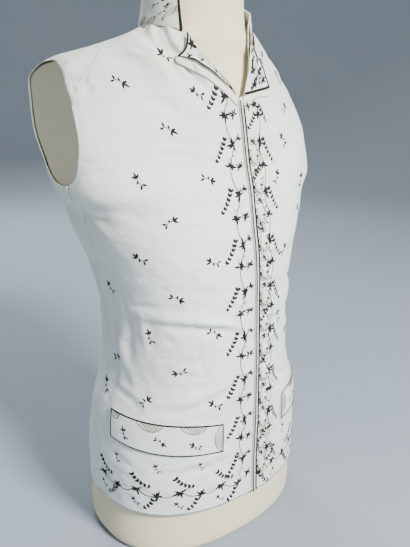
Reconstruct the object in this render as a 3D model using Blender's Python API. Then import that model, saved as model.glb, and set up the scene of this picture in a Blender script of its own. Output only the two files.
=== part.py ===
"""Embroidered sleeveless waistcoat worn by a limbless dress form.

Metres, +Z up, front towards -Y, wearer's left towards +X. The origin is under the middle of the
form's flat underside. The cloth pieces are walls that follow the form at a small distance; the
left front laps over the right front and carries the buttons.
"""

import math
from collections import namedtuple

import bmesh
import bpy
import numpy as np
from mathutils import Matrix, Vector

# ---- driving sizes, metres ----
HEM_HEIGHT = 0.068  # hem above the form's underside
CLOTH_WALL = 0.0016  # thickness of the fronts and the back
TRIM_WALL = 0.0014  # thickness of welts, lapels and bands
SEAM_GAP = 0.0003  # clear gap between neighbouring pieces
LAP_GAP = 0.0005  # clear gap where one piece lies on another

# ---- arm ends: tilted planes that cut the form, and a second pair just outside for the cloth ----
ARM_AXIS_Y = 0.030
ARM_AXIS_Z = 0.573
ARM_PLANE_X = 0.1778  # where the cloth's armhole edge lies, at the height of the axis
ARM_PLANE_SLOPE = -0.114  # the plane leans inwards going up
ARM_END_INSET = 0.0022  # the form's flat arm end lies this far inside the armhole's edge

# ---- fronts ----
LEFT_EDGE_X = 0.006  # lapping front edge, just to the wearer's left of the middle
RIGHT_EDGE_X = 0.034  # hidden edge of the right front, under the left front
LAP_FADE = 0.020  # width over which the left front settles back on the form
FOLD_HEIGHT = 0.604  # where the lapels begin to turn back
UNDERLAP_TOP = 0.590  # upper corner of the hidden edge

# ---- neck and collar ----
NECK_CENTRE_Y = -0.011
NECKLINE_RADIUS = 0.0712  # where the fronts and the back end, round the neck's axis
COLLAR_RADIUS = 0.0700  # the collar's outer face at its foot
COLLAR_WALL = 0.0018
COLLAR_RIGHT_END = -49.0  # degrees round the neck from the front, wearer's right is negative
COLLAR_LEFT_END = 27.0
NECK_TOP = 0.758
COLLAR_SEAT = 0.0023  # clear distance of the collar's lower edge from the form
COLLAR_END_LEAN = 5.0  # degrees by which the front corners lean back at the top
COLLAR_COLUMNS = 37
COLLAR_ROWS = 4
CollarTop = namedtuple("CollarTop", "share height lean")
# Height of the collar's top edge and its lean towards the neck, from the collar's left front
# corner (share 0) to its right one (share 1).
COLLAR_TOPS = [
    CollarTop(0.00, 0.690, 0.0026),
    CollarTop(0.04, 0.702, 0.0026),
    CollarTop(0.12, 0.710, 0.0052),
    CollarTop(0.25, 0.721, 0.0064),
    CollarTop(0.50, 0.727, 0.0064),
    CollarTop(0.85, 0.729, 0.0064),
    CollarTop(1.00, 0.726, 0.0064),
]

# ---- lapels, as corners (x, height) on the front of the form ----
LAPEL_WALL = 0.0018
LAPEL_ROLL = 0.0026  # how far the rolled edge stands off the front
LAPEL_LIFT = 0.0012  # how far the outer edge stands off it
LAPEL_ROWS = 11
LAPEL_COLUMNS = 5
LAPELS = {
    "right": {
        "root": [(-0.0510, 0.6790), (-0.0240, 0.6430), (0.0000, 0.6130)],
        "edge": [(-0.0630, 0.6550), (-0.0273, 0.6350), (0.0025, 0.6075)],
        "band_inner": [(-0.0640, 0.6541), (-0.0280, 0.6338), (0.0025, 0.6062)],
        "band_outer": [(-0.0640, 0.6455), (-0.0262, 0.6225), (0.0040, 0.5965)],
    },
    "left": {
        "root": [(0.0300, 0.6680), (0.0235, 0.6380), (0.0110, 0.6085)],
        "edge": [(0.0370, 0.6680), (0.0590, 0.6470), (0.0700, 0.6145)],
        "band_inner": [(0.0700, 0.6136), (0.0125, 0.6076)],
        "band_outer": [(0.0680, 0.6055), (0.0118, 0.5990)],
    },
}

# ---- buttons ----
BUTTON_COUNT = 13
BUTTON_PITCH = 0.0357
BUTTON_LOWEST = 0.106
BUTTON_X = 0.0225
BUTTON_SIDES = 12
BUTTON_SEAT = 0.0007  # clear height of the buttons over the left front
BUTTON_PROFILE = [(0.0, 0.0), (0.0070, 0.0), (0.0075, 0.0012), (0.0052, 0.0036), (0.0, 0.0046)]

# ---- pocket welts ----
WELT_LENGTH = 0.158
WELT_START = {"right": -0.045, "left": 0.065}  # distance round the form from the middle line
WELT_LIFT = {"right": 0.0, "left": 0.005}  # the left welt sits a little higher
WELT_LOOSE = 0.0003  # added to the gap under the welts
WELT_COLUMNS = 12
WELT_ROWS = 4

# ---- front edge band ----
FRONT_BAND_WIDTH = 0.0040
FRONT_BAND_WALL = 0.0010
FRONT_BAND_ROWS = 34

# ---- seams, in degrees ----
ARMPIT_TURN = -56.0  # about the arm axis from the front: where the side seam meets the armhole
SHOULDER_TURN = 34.0  # the same for the shoulder seam, which ends on the armhole's front
NECK_SEAM_ANGLE = 88.0  # round the neck from the front: where the shoulder seam meets the collar
HALF_GAP_TURN = math.degrees(SEAM_GAP * 0.6 / 0.075)
HALF_GAP_ROUND = math.degrees(SEAM_GAP * 0.5 / 0.150)

# ---- mesh grids ----
LOWER_ROWS = 23
BACK_UPPER_ROWS = 28
SHOULDER_STEPS = 6  # straight steps of both shoulder seams
FRONT_COLUMNS = 2 * SHOULDER_STEPS + 1
BACK_NECK_STEPS = 14
BACK_COLUMNS = 2 * SHOULDER_STEPS + BACK_NECK_STEPS + 1
RIGHT_OPENING_STEPS = [3, 1, 5, 5]  # steps beside the edge, its hidden corner, the roll, the neck
LEFT_OPENING_STEPS = [4, 5, 5]  # steps beside the edge, the roll line and the neckline
FRONT_UPPER_ROWS = sum(LEFT_OPENING_STEPS) + 1
BACK_ARMPIT_DIP = 0.014  # the back's row under the armhole, below the corner of the side seam
FORM_COLUMNS = 46
FORM_ROWS = 33
FORM_FOOT = [(0.0, 0.955), (0.003, 0.985), (0.011, 1.0)]  # heights and scales of the foot
FORM_LIFTS = [4, 9, 14, 19, 24, 29, 34, 39, 43, 46, 49, 51.5, 54, 56, 58, 60, 62]  # degrees
NECK_RINGS = [
    (0.7220, 0.0602),
    (0.7500, 0.0602),
    (0.7565, 0.0575),
    (NECK_TOP, 0.0530),
]

Section = namedtuple(
    "Section", "height half_width front back centre front_power back_power sweep"
)
# The form's level sections. front and back are the distances of its middle lines from y = 0,
# centre is the y of the section's own middle, the powers say how square its quarters are, and
# sweep is how far its ends are set back at 180 mm from the middle.
FORM_SECTIONS = [
    Section(0.000, 0.1595, 0.1180, 0.1320, 0.0000, 2.35, 2.35, 0.000),
    Section(0.013, 0.1600, 0.1190, 0.1325, 0.0000, 2.35, 2.35, 0.000),
    Section(0.068, 0.1560, 0.1225, 0.1270, 0.0000, 2.35, 2.35, 0.000),
    Section(0.128, 0.1580, 0.1220, 0.1175, 0.0000, 2.35, 2.35, 0.000),
    Section(0.188, 0.1515, 0.1235, 0.1080, 0.0000, 2.35, 2.35, 0.000),
    Section(0.258, 0.1299, 0.1228, 0.1055, 0.0000, 2.35, 2.35, 0.000),
    Section(0.328, 0.1264, 0.1210, 0.1093, 0.0000, 2.35, 2.35, 0.000),
    Section(0.398, 0.1395, 0.1190, 0.1220, 0.0000, 2.35, 2.35, 0.000),
    Section(0.458, 0.1632, 0.1108, 0.1306, 0.0000, 2.35, 2.35, 0.000),
    Section(0.483, 0.1690, 0.1063, 0.1302, 0.0000, 2.35, 2.35, 0.000),
    Section(0.500, 0.1806, 0.1020, 0.1292, 0.0000, 2.35, 2.35, 0.000),
    Section(0.518, 0.1868, 0.0980, 0.1286, 0.0000, 2.35, 2.35, 0.003),
    Section(0.538, 0.1915, 0.0945, 0.1285, 0.0000, 2.30, 2.30, 0.008),
    Section(0.573, 0.2005, 0.0885, 0.1280, 0.0000, 2.15, 2.30, 0.022),
    Section(0.608, 0.1995, 0.0815, 0.1250, 0.0000, 1.90, 2.20, 0.038),
    Section(0.631, 0.2000, 0.0760, 0.1150, 0.0000, 1.58, 2.10, 0.050),
    Section(0.6435, 0.1830, 0.0742, 0.1040, 0.0000, 1.45, 2.00, 0.050),
    Section(0.6515, 0.1600, 0.0732, 0.0940, 0.0000, 1.42, 2.00, 0.045),
    Section(0.6600, 0.1345, 0.0730, 0.0840, -0.0010, 1.54, 2.00, 0.034),
    Section(0.673, 0.0990, 0.0730, 0.0690, -0.0040, 1.85, 2.00, 0.018),
    Section(0.680, 0.0820, 0.0727, 0.0620, -0.0070, 2.00, 2.00, 0.006),
    Section(0.685, 0.0725, 0.0724, 0.0580, -0.0090, 2.00, 2.00, 0.000),
    Section(0.689, 0.0665, 0.0721, 0.0548, -0.0100, 2.00, 2.00, 0.000),
    Section(0.695, 0.0630, 0.0717, 0.0515, -0.0107, 2.00, 2.00, 0.000),
    Section(0.703, 0.0610, 0.0713, 0.0495, -0.0110, 2.00, 2.00, 0.000),
    Section(0.720, 0.0602, 0.0712, 0.0492, -0.0110, 2.00, 2.00, 0.000),
    Section(0.800, 0.0602, 0.0712, 0.0492, -0.0110, 2.00, 2.00, 0.000),
]

Standoff = namedtuple("Standoff", "height gap")
# How far the cloth's inner face stays off the form: the hem hangs free, the shoulders carry.
STANDOFFS = [
    Standoff(0.068, 0.0024),
    Standoff(0.128, 0.0020),
    Standoff(0.258, 0.0016),
    Standoff(0.378, 0.0019),
    Standoff(0.468, 0.0020),
    Standoff(0.503, 0.0038),
    Standoff(0.535, 0.0022),
    Standoff(0.600, 0.0022),
    Standoff(0.647, 0.0042),
    Standoff(0.680, 0.0020),
    Standoff(0.800, 0.0020),
]

SeamPoint = namedtuple("SeamPoint", "height bearing")
# The side seam, as degrees round the form from the front.
SIDE_SEAM = [
    SeamPoint(0.068, 103.0),
    SeamPoint(0.236, 102.5),
    SeamPoint(0.365, 101.0),
    SeamPoint(0.403, 96.0),
    SeamPoint(0.442, 88.5),
]

ShoulderPoint = namedtuple("ShoulderPoint", "share across turn")
# The shoulder seam from the armhole (share 0) to the neck (share 1), in arm coordinates.
SHOULDER_SEAM = [
    ShoulderPoint(0.00, 1.00, SHOULDER_TURN),
    ShoulderPoint(0.33, 0.86, 62.0),
    ShoulderPoint(0.60, 0.70, 77.0),
    ShoulderPoint(1.00, 0.42, 73.0),
]

WeltEdge = namedtuple("WeltEdge", "share top bottom")
# Heights of a welt's long edges, from its front end (share 0) to its side end (share 1).
WELT_EDGES = [
    WeltEdge(0.00, 0.1970, 0.1545),
    WeltEdge(0.35, 0.2040, 0.1600),
    WeltEdge(0.70, 0.2070, 0.1665),
    WeltEdge(1.00, 0.2085, 0.1725),
]

Fold = namedtuple("Fold", "bearing height bearing_end height_end width rise")
# The largest soft ridges: degrees from the front (wearer's right is negative) and heights of both
# ends, half width of the ridge, and its rise off the cloth.
FOLDS = [
    Fold(-78.0, 0.352, -34.0, 0.347, 0.010, 0.0030),
    Fold(-36.0, 0.346, -8.0, 0.330, 0.008, 0.0022),
    Fold(70.0, 0.350, 26.0, 0.345, 0.010, 0.0026),
    Fold(-86.0, 0.300, -70.0, 0.246, 0.009, 0.0022),
    Fold(84.0, 0.292, 66.0, 0.240, 0.009, 0.0022),
    Fold(-52.0, 0.230, -14.0, 0.252, 0.008, 0.0020),
    Fold(-50.0, 0.598, -18.0, 0.556, 0.010, 0.0028),
    Fold(-46.0, 0.560, -14.0, 0.524, 0.010, 0.0024),
    Fold(50.0, 0.596, 56.0, 0.520, 0.010, 0.0026),
    Fold(130.0, 0.345, 176.0, 0.336, 0.011, 0.0026),
    Fold(-132.0, 0.338, -178.0, 0.350, 0.011, 0.0026),
    Fold(142.0, 0.560, 126.0, 0.500, 0.011, 0.0024),
    Fold(-140.0, 0.566, -124.0, 0.504, 0.011, 0.0024),
    Fold(168.0, 0.262, 128.0, 0.244, 0.010, 0.0022),
    Fold(-166.0, 0.250, -126.0, 0.262, 0.010, 0.0022),
]
FOLD_METRE_PER_RADIAN = 0.140


# ---------------------------------------------------------------- curves and the form's surface
def smooth(knots, values, at):
    """Reads a smooth curve through the knots that never overshoots between them."""
    knots = np.asarray(knots, float)
    values = np.asarray(values, float)
    step = np.diff(knots)
    slope = np.diff(values) / step
    before, after = slope[:-1], slope[1:]
    same_way = before * after > 0
    harmonic = 2 * before * after / np.where(same_way, before + after, 1.0)
    inner = np.where(same_way, harmonic, 0.0)
    tangent = np.concatenate([slope[:1], inner, slope[-1:]])
    at = np.clip(np.asarray(at, float), knots[0], knots[-1])
    span = np.clip(np.searchsorted(knots, at) - 1, 0, len(step) - 1)
    width = step[span]
    t = (at - knots[span]) / width
    start = (2 * t**3 - 3 * t**2 + 1) * values[span] + (t**3 - 2 * t**2 + t) * width * tangent[span]
    end = (3 * t**2 - 2 * t**3) * values[span + 1] + (t**3 - t**2) * width * tangent[span + 1]
    return start + end


def table_column(table, name, at):
    """Reads one named column of a table whose rows have a height."""
    return smooth([row.height for row in table], [getattr(row, name) for row in table], at)


def form_value(points):
    """Below 0 inside the form, 0 on its surface and above 0 outside it."""
    x, y, z = points[..., 0], points[..., 1], points[..., 2]
    y = y - table_column(FORM_SECTIONS, "sweep", z) * (x / 0.180) ** 2
    centre = table_column(FORM_SECTIONS, "centre", z)
    front = table_column(FORM_SECTIONS, "front", z) + centre
    back = table_column(FORM_SECTIONS, "back", z) - centre
    ahead = y < centre
    depth = np.where(ahead, front, back)
    front_power = table_column(FORM_SECTIONS, "front_power", z)
    back_power = table_column(FORM_SECTIONS, "back_power", z)
    power = np.where(ahead, front_power, back_power)
    half_width = table_column(FORM_SECTIONS, "half_width", z)
    return (np.abs(x) / half_width) ** power + (np.abs(y - centre) / depth) ** power - 1


def form_normal(points):
    """Unit outward normals of the form's surface at the points."""
    reach = 0.0004
    parts = []
    for axis in range(3):
        shift = np.zeros(3)
        shift[axis] = reach
        parts.append(form_value(points + shift) - form_value(points - shift))
    normal = np.stack(parts, -1)
    return normal / np.linalg.norm(normal, axis=-1, keepdims=True)


def cast(origins, directions, reach=0.33):
    """Where rays from inside the form leave it, by halving."""
    near = np.zeros(origins.shape[:-1])
    far = np.full(origins.shape[:-1], reach)
    for _ in range(34):
        middle = (near + far) / 2
        inside = form_value(origins + directions * middle[..., None]) < 0
        near = np.where(inside, middle, near)
        far = np.where(inside, far, middle)
    return origins + directions * near[..., None]


def ring_point(bearing, height):
    """The form's surface at a bearing in degrees from the front, at one height."""
    angle = np.radians(bearing)
    level = np.zeros_like(angle)
    directions = np.stack([np.sin(angle), -np.cos(angle), level], -1)
    origins = np.stack([level, level, level + height], -1)
    return cast(origins, directions)


def dome_point(bearing, lift):
    """The form's surface along a ray that rises by lift degrees from the arm axis height."""
    angle = np.radians(bearing)
    flat = math.cos(math.radians(lift))
    up = math.sin(math.radians(lift)) + 0 * angle
    directions = np.stack([np.sin(angle) * flat, -np.cos(angle) * flat, up], -1)
    origins = np.zeros(directions.shape)
    origins[..., 2] = ARM_AXIS_Z
    return cast(origins, directions)


def arm_plane_x(height):
    """Half distance between the two armhole planes at a height."""
    return ARM_PLANE_X + ARM_PLANE_SLOPE * (height - ARM_AXIS_Z)


def yoke_point(across, turn):
    """The form's surface in arm coordinates.

    across is x divided by the armhole plane's x, so it is -1 and 1 on the armhole edges. turn is
    in degrees about the arm axis: 0 points forwards, 90 up and 180 back.
    """
    across, turn = np.broadcast_arrays(np.asarray(across, float), np.asarray(turn, float))
    angle = np.radians(turn)
    near = np.zeros(across.shape)
    far = np.full(across.shape, 0.200)
    for _ in range(34):
        middle = (near + far) / 2
        z = ARM_AXIS_Z + middle * np.sin(angle)
        y = ARM_AXIS_Y - middle * np.cos(angle)
        inside = form_value(np.stack([across * arm_plane_x(z), y, z], -1)) < 0
        near = np.where(inside, middle, near)
        far = np.where(inside, far, middle)
    z = ARM_AXIS_Z + near * np.sin(angle)
    y = ARM_AXIS_Y - near * np.cos(angle)
    return np.stack([across * arm_plane_x(z), y, z], -1)


def yoke_place(points):
    """The arm coordinates (across, turn) of points; turn runs from -180 to 180 degrees."""
    x, y, z = points[..., 0], points[..., 1], points[..., 2]
    turn = np.degrees(np.arctan2(z - ARM_AXIS_Z, ARM_AXIS_Y - y))
    return np.stack([x / arm_plane_x(z), turn], -1)


def bearing_of(points):
    """Degrees round the form from the front; wearer's right is negative."""
    return np.degrees(np.arctan2(points[..., 0], -points[..., 1]))


def fold_rise(points):
    """How far the largest folds lift the cloth at the points."""
    bearing = bearing_of(points)
    rise = np.zeros(points.shape[:-1])
    for fold in FOLDS:
        start = np.array([math.radians(fold.bearing) * FOLD_METRE_PER_RADIAN, fold.height])
        end = np.array([math.radians(fold.bearing_end) * FOLD_METRE_PER_RADIAN, fold.height_end])
        place = np.stack([np.radians(bearing) * FOLD_METRE_PER_RADIAN, points[..., 2]], -1)
        along = end - start
        t = np.clip(((place - start) @ along) / (along @ along), 0.0, 1.0)
        distance = np.linalg.norm(place - start - t[..., None] * along, axis=-1)
        taper = np.sin(np.pi * (0.12 + 0.76 * t))
        rise += fold.rise * taper * np.exp(-((distance / fold.width) ** 2))
    return rise


def cloth_inside(points):
    """Distance from the form to the inner face of a single layer of cloth."""
    return table_column(STANDOFFS, "gap", points[..., 2]) + fold_rise(points)


def lap_lift(points):
    """Extra distance of the left front where it lies on the right front."""
    past_edge = (points[..., 0] - RIGHT_EDGE_X - 0.003) / LAP_FADE
    fade = np.clip(past_edge, 0.0, 1.0)
    return (CLOTH_WALL + LAP_GAP) * (1 - fade * fade * (3 - 2 * fade))


def raised(points, distance):
    """Moves surface points out along the form's normals."""
    return points + form_normal(points) * np.asarray(distance)[..., None]


# ---------------------------------------------------------------- outlines of the panels
def side_seam_bearing(height):
    """Bearing of the side seam, as a positive angle; it ends on the armhole."""
    armpit = yoke_point(1.0, ARMPIT_TURN)
    heights = [p.height for p in SIDE_SEAM] + [float(armpit[2])]
    bearings = [p.bearing for p in SIDE_SEAM] + [float(bearing_of(armpit))]
    return smooth(heights, bearings, height)


def neckline(angle, radius=NECKLINE_RADIUS):
    """Points of the form at a radius from the neck's axis, at angles from the front."""
    angle = np.radians(angle)
    x = radius * np.sin(angle)
    y = NECK_CENTRE_Y - radius * np.cos(angle)
    low = np.full(x.shape, ARM_AXIS_Z)
    high = np.full(x.shape, NECK_TOP)
    for _ in range(34):
        middle = (low + high) / 2
        inside = form_value(np.stack([x, y, middle], -1)) < 0
        low = np.where(inside, middle, low)
        high = np.where(inside, high, middle)
    return np.stack([x, y, low], -1)


def front_surface(x, height):
    """Points on the front of the form at given x and heights."""
    x, height = np.broadcast_arrays(np.asarray(x, float), np.asarray(height, float))
    origins = np.stack([x, 0 * x, height], -1)
    directions = np.zeros(origins.shape)
    directions[..., 1] = -1.0
    return cast(origins, directions)


def surface_near(points):
    """Moves points that are close to the form onto its surface."""
    reach = 0.0004
    for _ in range(12):
        value = form_value(points)
        slope = form_normal(points)
        ahead = form_value(points + slope * reach)
        points = points - slope * (value * reach / (ahead - value))[..., None]
    return points


def resample(points, count):
    """Points at equal steps along an open line of points, ends included."""
    points = np.asarray(points, float)
    steps = np.linalg.norm(np.diff(points, axis=0), axis=1)
    length = np.concatenate([[0.0], np.cumsum(steps)])
    at = np.linspace(0.0, length[-1], count)
    return np.stack([np.interp(at, length, points[:, k]) for k in range(points.shape[1])], -1)


def resample_parts(parts, steps):
    """Joins open lines end to end, each cut into its own number of equal steps."""
    pieces = [resample(part, count + 1)[:-1] for part, count in zip(parts, steps)]
    return np.concatenate(pieces + [parts[-1][-1:]])


def shoulder_seam(side, shift):
    """The shoulder seam from the armhole to the neckline; side is -1 right and 1 left.

    shift moves it off its own line, in degrees: backwards where it is positive.
    """
    end = yoke_place(neckline(np.array([side * (NECK_SEAM_ANGLE + shift)])))[0]
    share = np.linspace(0.0, 1.0, 24)
    known = [row.share for row in SHOULDER_SEAM]
    across = smooth(known, [row.across for row in SHOULDER_SEAM], share)
    turn = smooth(known, [row.turn for row in SHOULDER_SEAM], share)
    to_neck = (share**2)[:, None]
    line = np.stack([across * side, turn + shift], -1)
    line = line + (end - line[-1]) * to_neck
    return yoke_point(line[:, 0], line[:, 1])


def front_opening(side, start_height):
    """A front's edge from a height up to the fold, up the roll line and round to the shoulder."""
    if side < 0:
        edge = front_surface(RIGHT_EDGE_X, np.linspace(start_height, UNDERLAP_TOP, 8))
        fold = front_surface([LEFT_EDGE_X - 0.005], [FOLD_HEIGHT + 0.004])
        collar_end = COLLAR_RIGHT_END
        parts = [edge, np.concatenate([edge[-1:], fold])]
        steps = RIGHT_OPENING_STEPS
    else:
        edge = front_surface(LEFT_EDGE_X, np.linspace(start_height, FOLD_HEIGHT, 8))
        fold = edge[-1:]
        collar_end = COLLAR_LEFT_END
        parts = [edge]
        steps = LEFT_OPENING_STEPS
    top = neckline(np.array([collar_end]))
    share = np.linspace(0.0, 1.0, 9)[:, None]
    parts.append(surface_near(fold * (1 - share) + top * share))
    parts.append(neckline(np.linspace(collar_end, side * (NECK_SEAM_ANGLE - HALF_GAP_TURN), 12)))
    return resample_parts(parts, steps)


# ---------------------------------------------------------------- panels as grids of points
def lower_patch(start_bearings, end_bearings, top_heights):
    """Rows of surface points from the hem up to the armpit."""
    share = np.linspace(0.0, 1.0, len(top_heights))
    rows = []
    for level in np.linspace(0.0, 1.0, LOWER_ROWS):
        height = HEM_HEIGHT + (top_heights - HEM_HEIGHT) * level
        bearing = start_bearings(height) * (1 - share) + end_bearings(height) * share
        rows.append(ring_point(bearing, height))
    return np.array(rows)


def upper_patch(bottom, start_side, top, end_side):
    """Rows of surface points above the armpit, ruled in arm coordinates between four sides."""
    share = np.linspace(0.0, 1.0, len(bottom))[:, None]
    rows = []
    count = len(start_side)
    for i in range(1, count):
        level = i / (count - 1)
        ruled = bottom * (1 - level) + top * level
        start_off = start_side[i] - ruled[0]
        end_off = end_side[i] - ruled[-1]
        rows.append(ruled + start_off * (1 - share) + end_off * share)
    rows = np.array(rows)
    return yoke_point(rows[..., 0], rows[..., 1])


def hole_side(side, start_turn, end_turn, count):
    """A stretch of armhole edge in arm coordinates."""
    turns = np.linspace(start_turn, end_turn, count)
    return np.stack([np.full(count, float(side)), turns], -1)


def front_points(side):
    """The surface points of one front, from its side seam to its front edge; side is -1 or 1."""
    corner = yoke_point(float(side), ARMPIT_TURN + HALF_GAP_TURN)
    edge_x = RIGHT_EDGE_X if side < 0 else LEFT_EDGE_X

    def seam(height):
        return side * (side_seam_bearing(height) - HALF_GAP_ROUND)

    def edge(height):
        return np.degrees(np.arctan2(edge_x, table_column(FORM_SECTIONS, "front", height)))

    lower = lower_patch(seam, edge, np.full(FRONT_COLUMNS, corner[2]))
    lower[-1][0] = corner
    bottom = yoke_place(lower[-1])
    low_turn, high_turn = ARMPIT_TURN + HALF_GAP_TURN, SHOULDER_TURN - HALF_GAP_TURN
    hole = hole_side(side, low_turn, high_turn, FRONT_UPPER_ROWS)
    seam_line = yoke_place(resample(shoulder_seam(side, -HALF_GAP_TURN), SHOULDER_STEPS + 1))
    between = (seam_line[:-1] + seam_line[1:]) / 2
    seam_line = np.insert(seam_line, range(1, SHOULDER_STEPS + 1), between, axis=0)
    opening = yoke_place(front_opening(side, corner[2]))
    return np.concatenate([lower, upper_patch(bottom, hole, seam_line, opening)])


def back_points():
    """The surface points of the back, from the right side seam round to the left one."""
    corner = yoke_point(1.0, ARMPIT_TURN - HALF_GAP_TURN)
    share = np.linspace(0.0, 1.0, BACK_COLUMNS)
    inward = np.minimum(share, 1 - share) * (BACK_COLUMNS - 1)
    top = corner[2] - BACK_ARMPIT_DIP * np.clip(inward, 0.0, 1.0)
    lower = lower_patch(
        lambda height: 360.0 - side_seam_bearing(height) - HALF_GAP_ROUND,
        lambda height: side_seam_bearing(height) + HALF_GAP_ROUND,
        top,
    )
    lower[-1][0] = corner * (-1, 1, 1)
    lower[-1][-1] = corner
    bottom = yoke_place(lower[-1])
    bottom[:, 1] -= 360.0 * (bottom[:, 1] > 0)
    start, end = ARMPIT_TURN - HALF_GAP_TURN, SHOULDER_TURN + HALF_GAP_TURN - 360.0
    right_line = shoulder_seam(-1, HALF_GAP_TURN)
    left_line = shoulder_seam(1, HALF_GAP_TURN)[::-1]
    seam_angle = NECK_SEAM_ANGLE + HALF_GAP_TURN
    neck = neckline(np.linspace(360.0 - seam_angle, seam_angle, 30))
    steps = [SHOULDER_STEPS, BACK_NECK_STEPS, SHOULDER_STEPS]
    top_line = yoke_place(resample_parts([right_line, neck, left_line], steps)) - (0.0, 360.0)
    right_hole = hole_side(-1, start, end, BACK_UPPER_ROWS)
    left_hole = hole_side(1, start, end, BACK_UPPER_ROWS)
    return np.concatenate([lower, upper_patch(bottom, right_hole, top_line, left_hole)])


# ---------------------------------------------------------------- objects
def material(name, colour, roughness, metallic=0.0):
    """A plain Principled material."""
    made = bpy.data.materials.new(name)
    made.use_nodes = True
    shader = made.node_tree.nodes["Principled BSDF"]
    shader.inputs["Base Color"].default_value = (*colour, 1.0)
    shader.inputs["Roughness"].default_value = roughness
    shader.inputs["Metallic"].default_value = metallic
    made.diffuse_color = (*colour, 1.0)
    return made


def add_object(name, bm, finish):
    """Turns a bmesh into a named object with one material."""
    mesh = bpy.data.meshes.new(name)
    bm.to_mesh(mesh)
    bm.free()
    mesh.materials.append(finish)
    mesh.shade_smooth()
    made = bpy.data.objects.new(name, mesh)
    bpy.context.scene.collection.objects.link(made)
    return made


def wall(name, inner, outer, finish):
    """A closed wall between two equal grids of points, as one object."""
    rows, columns = inner.shape[:2]
    bm = bmesh.new()
    layers = []
    for grid in (inner, outer):
        layers.append([[bm.verts.new(grid[i, j]) for j in range(columns)] for i in range(rows)])
    inside, outside = layers
    for i in range(rows - 1):
        for j in range(columns - 1):
            for layer in layers:
                bm.faces.new((layer[i][j], layer[i][j + 1], layer[i + 1][j + 1], layer[i + 1][j]))
    rim = [(0, j) for j in range(columns)]
    rim += [(i, columns - 1) for i in range(1, rows)]
    rim += [(rows - 1, j) for j in range(columns - 2, -1, -1)]
    rim += [(i, 0) for i in range(rows - 2, 0, -1)]
    for k, (i, j) in enumerate(rim):
        p, q = rim[(k + 1) % len(rim)]
        bm.faces.new((inside[i][j], inside[p][q], outside[p][q], outside[i][j]))
    bmesh.ops.recalc_face_normals(bm, faces=bm.faces)
    return add_object(name, bm, finish)


def panel(name, points, lift, finish):
    """A cloth panel whose inner face lies off the form by the standoff, its folds and a lift."""
    inside = cloth_inside(points) + lift
    return wall(name, raised(points, inside), raised(points, inside + CLOTH_WALL), finish)


def build_form(finish):
    """The limbless dress form: rings up to the neck's top, with its two arm ends cut flat."""
    bearing = np.linspace(0.0, 360.0, FORM_COLUMNS, endpoint=False)
    rings = []
    for height, inset in FORM_FOOT:
        rings.append(ring_point(bearing, height + 0 * bearing) * (inset, inset, 1.0))
    for height in np.linspace(FORM_FOOT[-1][0], ARM_AXIS_Z, FORM_ROWS)[1:]:
        rings.append(ring_point(bearing, height + 0 * bearing))
    for lift in FORM_LIFTS:
        rings.append(dome_point(bearing, lift))
    offset = rings[-1][:, :2] - (0.0, NECK_CENTRE_Y)
    round_neck = offset / np.linalg.norm(offset, axis=1, keepdims=True)
    for height, radius in NECK_RINGS:
        ring = np.zeros((FORM_COLUMNS, 3))
        ring[:, :2] = round_neck * radius + (0.0, NECK_CENTRE_Y)
        ring[:, 2] = height
        rings.append(ring)
    bm = bmesh.new()
    loops = [[bm.verts.new(point) for point in ring] for ring in rings]
    for low, high in zip(loops, loops[1:]):
        for k in range(FORM_COLUMNS):
            m = (k + 1) % FORM_COLUMNS
            bm.faces.new((low[k], low[m], high[m], high[k]))
    bm.faces.new(loops[0][::-1])
    bm.faces.new(loops[-1])
    for side in (-1, 1):
        cut_arm_end(bm, side)
    bmesh.ops.recalc_face_normals(bm, faces=bm.faces)
    return add_object("dress_form", bm, finish)


def cut_arm_end(bm, side):
    """Cuts the form flat at one arm; side is -1 right and 1 left."""
    point = Vector((side * (ARM_PLANE_X - ARM_END_INSET), 0.0, ARM_AXIS_Z))
    normal = Vector((side, 0.0, -ARM_PLANE_SLOPE)).normalized()
    everything = bm.verts[:] + bm.edges[:] + bm.faces[:]
    cut = bmesh.ops.bisect_plane(
        bm, geom=everything, dist=1e-6, plane_co=point, plane_no=normal, clear_outer=True
    )
    rim = [e for e in cut["geom_cut"] if isinstance(e, bmesh.types.BMEdge)]
    bmesh.ops.contextual_create(bm, geom=rim)


def build_collar(finish):
    """The stand collar: an upright strip round the neck, lower at its left front corner."""
    around = np.linspace(COLLAR_LEFT_END, 360.0 + COLLAR_RIGHT_END, COLLAR_COLUMNS)
    share = np.linspace(0.0, 1.0, COLLAR_COLUMNS)
    known = [row.share for row in COLLAR_TOPS]
    top = smooth(known, [row.height for row in COLLAR_TOPS], share)
    lean = smooth(known, [row.lean for row in COLLAR_TOPS], share)
    end_lean = COLLAR_END_LEAN * (np.exp(-share / 0.05) - np.exp((share - 1) / 0.05))
    faces = []
    for radius in (COLLAR_RADIUS - COLLAR_WALL, COLLAR_RADIUS):
        foot = raised(neckline(around, radius), COLLAR_SEAT)
        foot_radius = np.hypot(foot[:, 0], foot[:, 1] - NECK_CENTRE_Y)
        grid = []
        for level in np.linspace(0.0, 1.0, COLLAR_ROWS):
            angle = np.radians(around + end_lean * level)
            out = foot_radius - lean * level
            x = out * np.sin(angle)
            y = NECK_CENTRE_Y - out * np.cos(angle)
            grid.append(np.stack([x, y, foot[:, 2] * (1 - level) + top * level], -1))
        faces.append(np.array(grid))
    return wall("collar", faces[0], faces[1], finish)


def ruled_patch(root, edge, columns):
    """Surface points between two lines on the front, each a list of (x, height) corners."""
    count = LAPEL_ROWS
    lines = [resample(np.array(line, float), count) for line in (root, edge)]
    share = np.linspace(0.0, 1.0, columns)[None, :, None]
    flat = lines[0][:, None] * (1 - share) + lines[1][:, None] * share
    return front_surface(flat[..., 0], flat[..., 1])


def panel_top(points, side):
    """Distance from the form to the outer face of the front that the points lie on."""
    lift = lap_lift(points) if side > 0 else 0.0
    return cloth_inside(points) + lift + CLOTH_WALL


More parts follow.
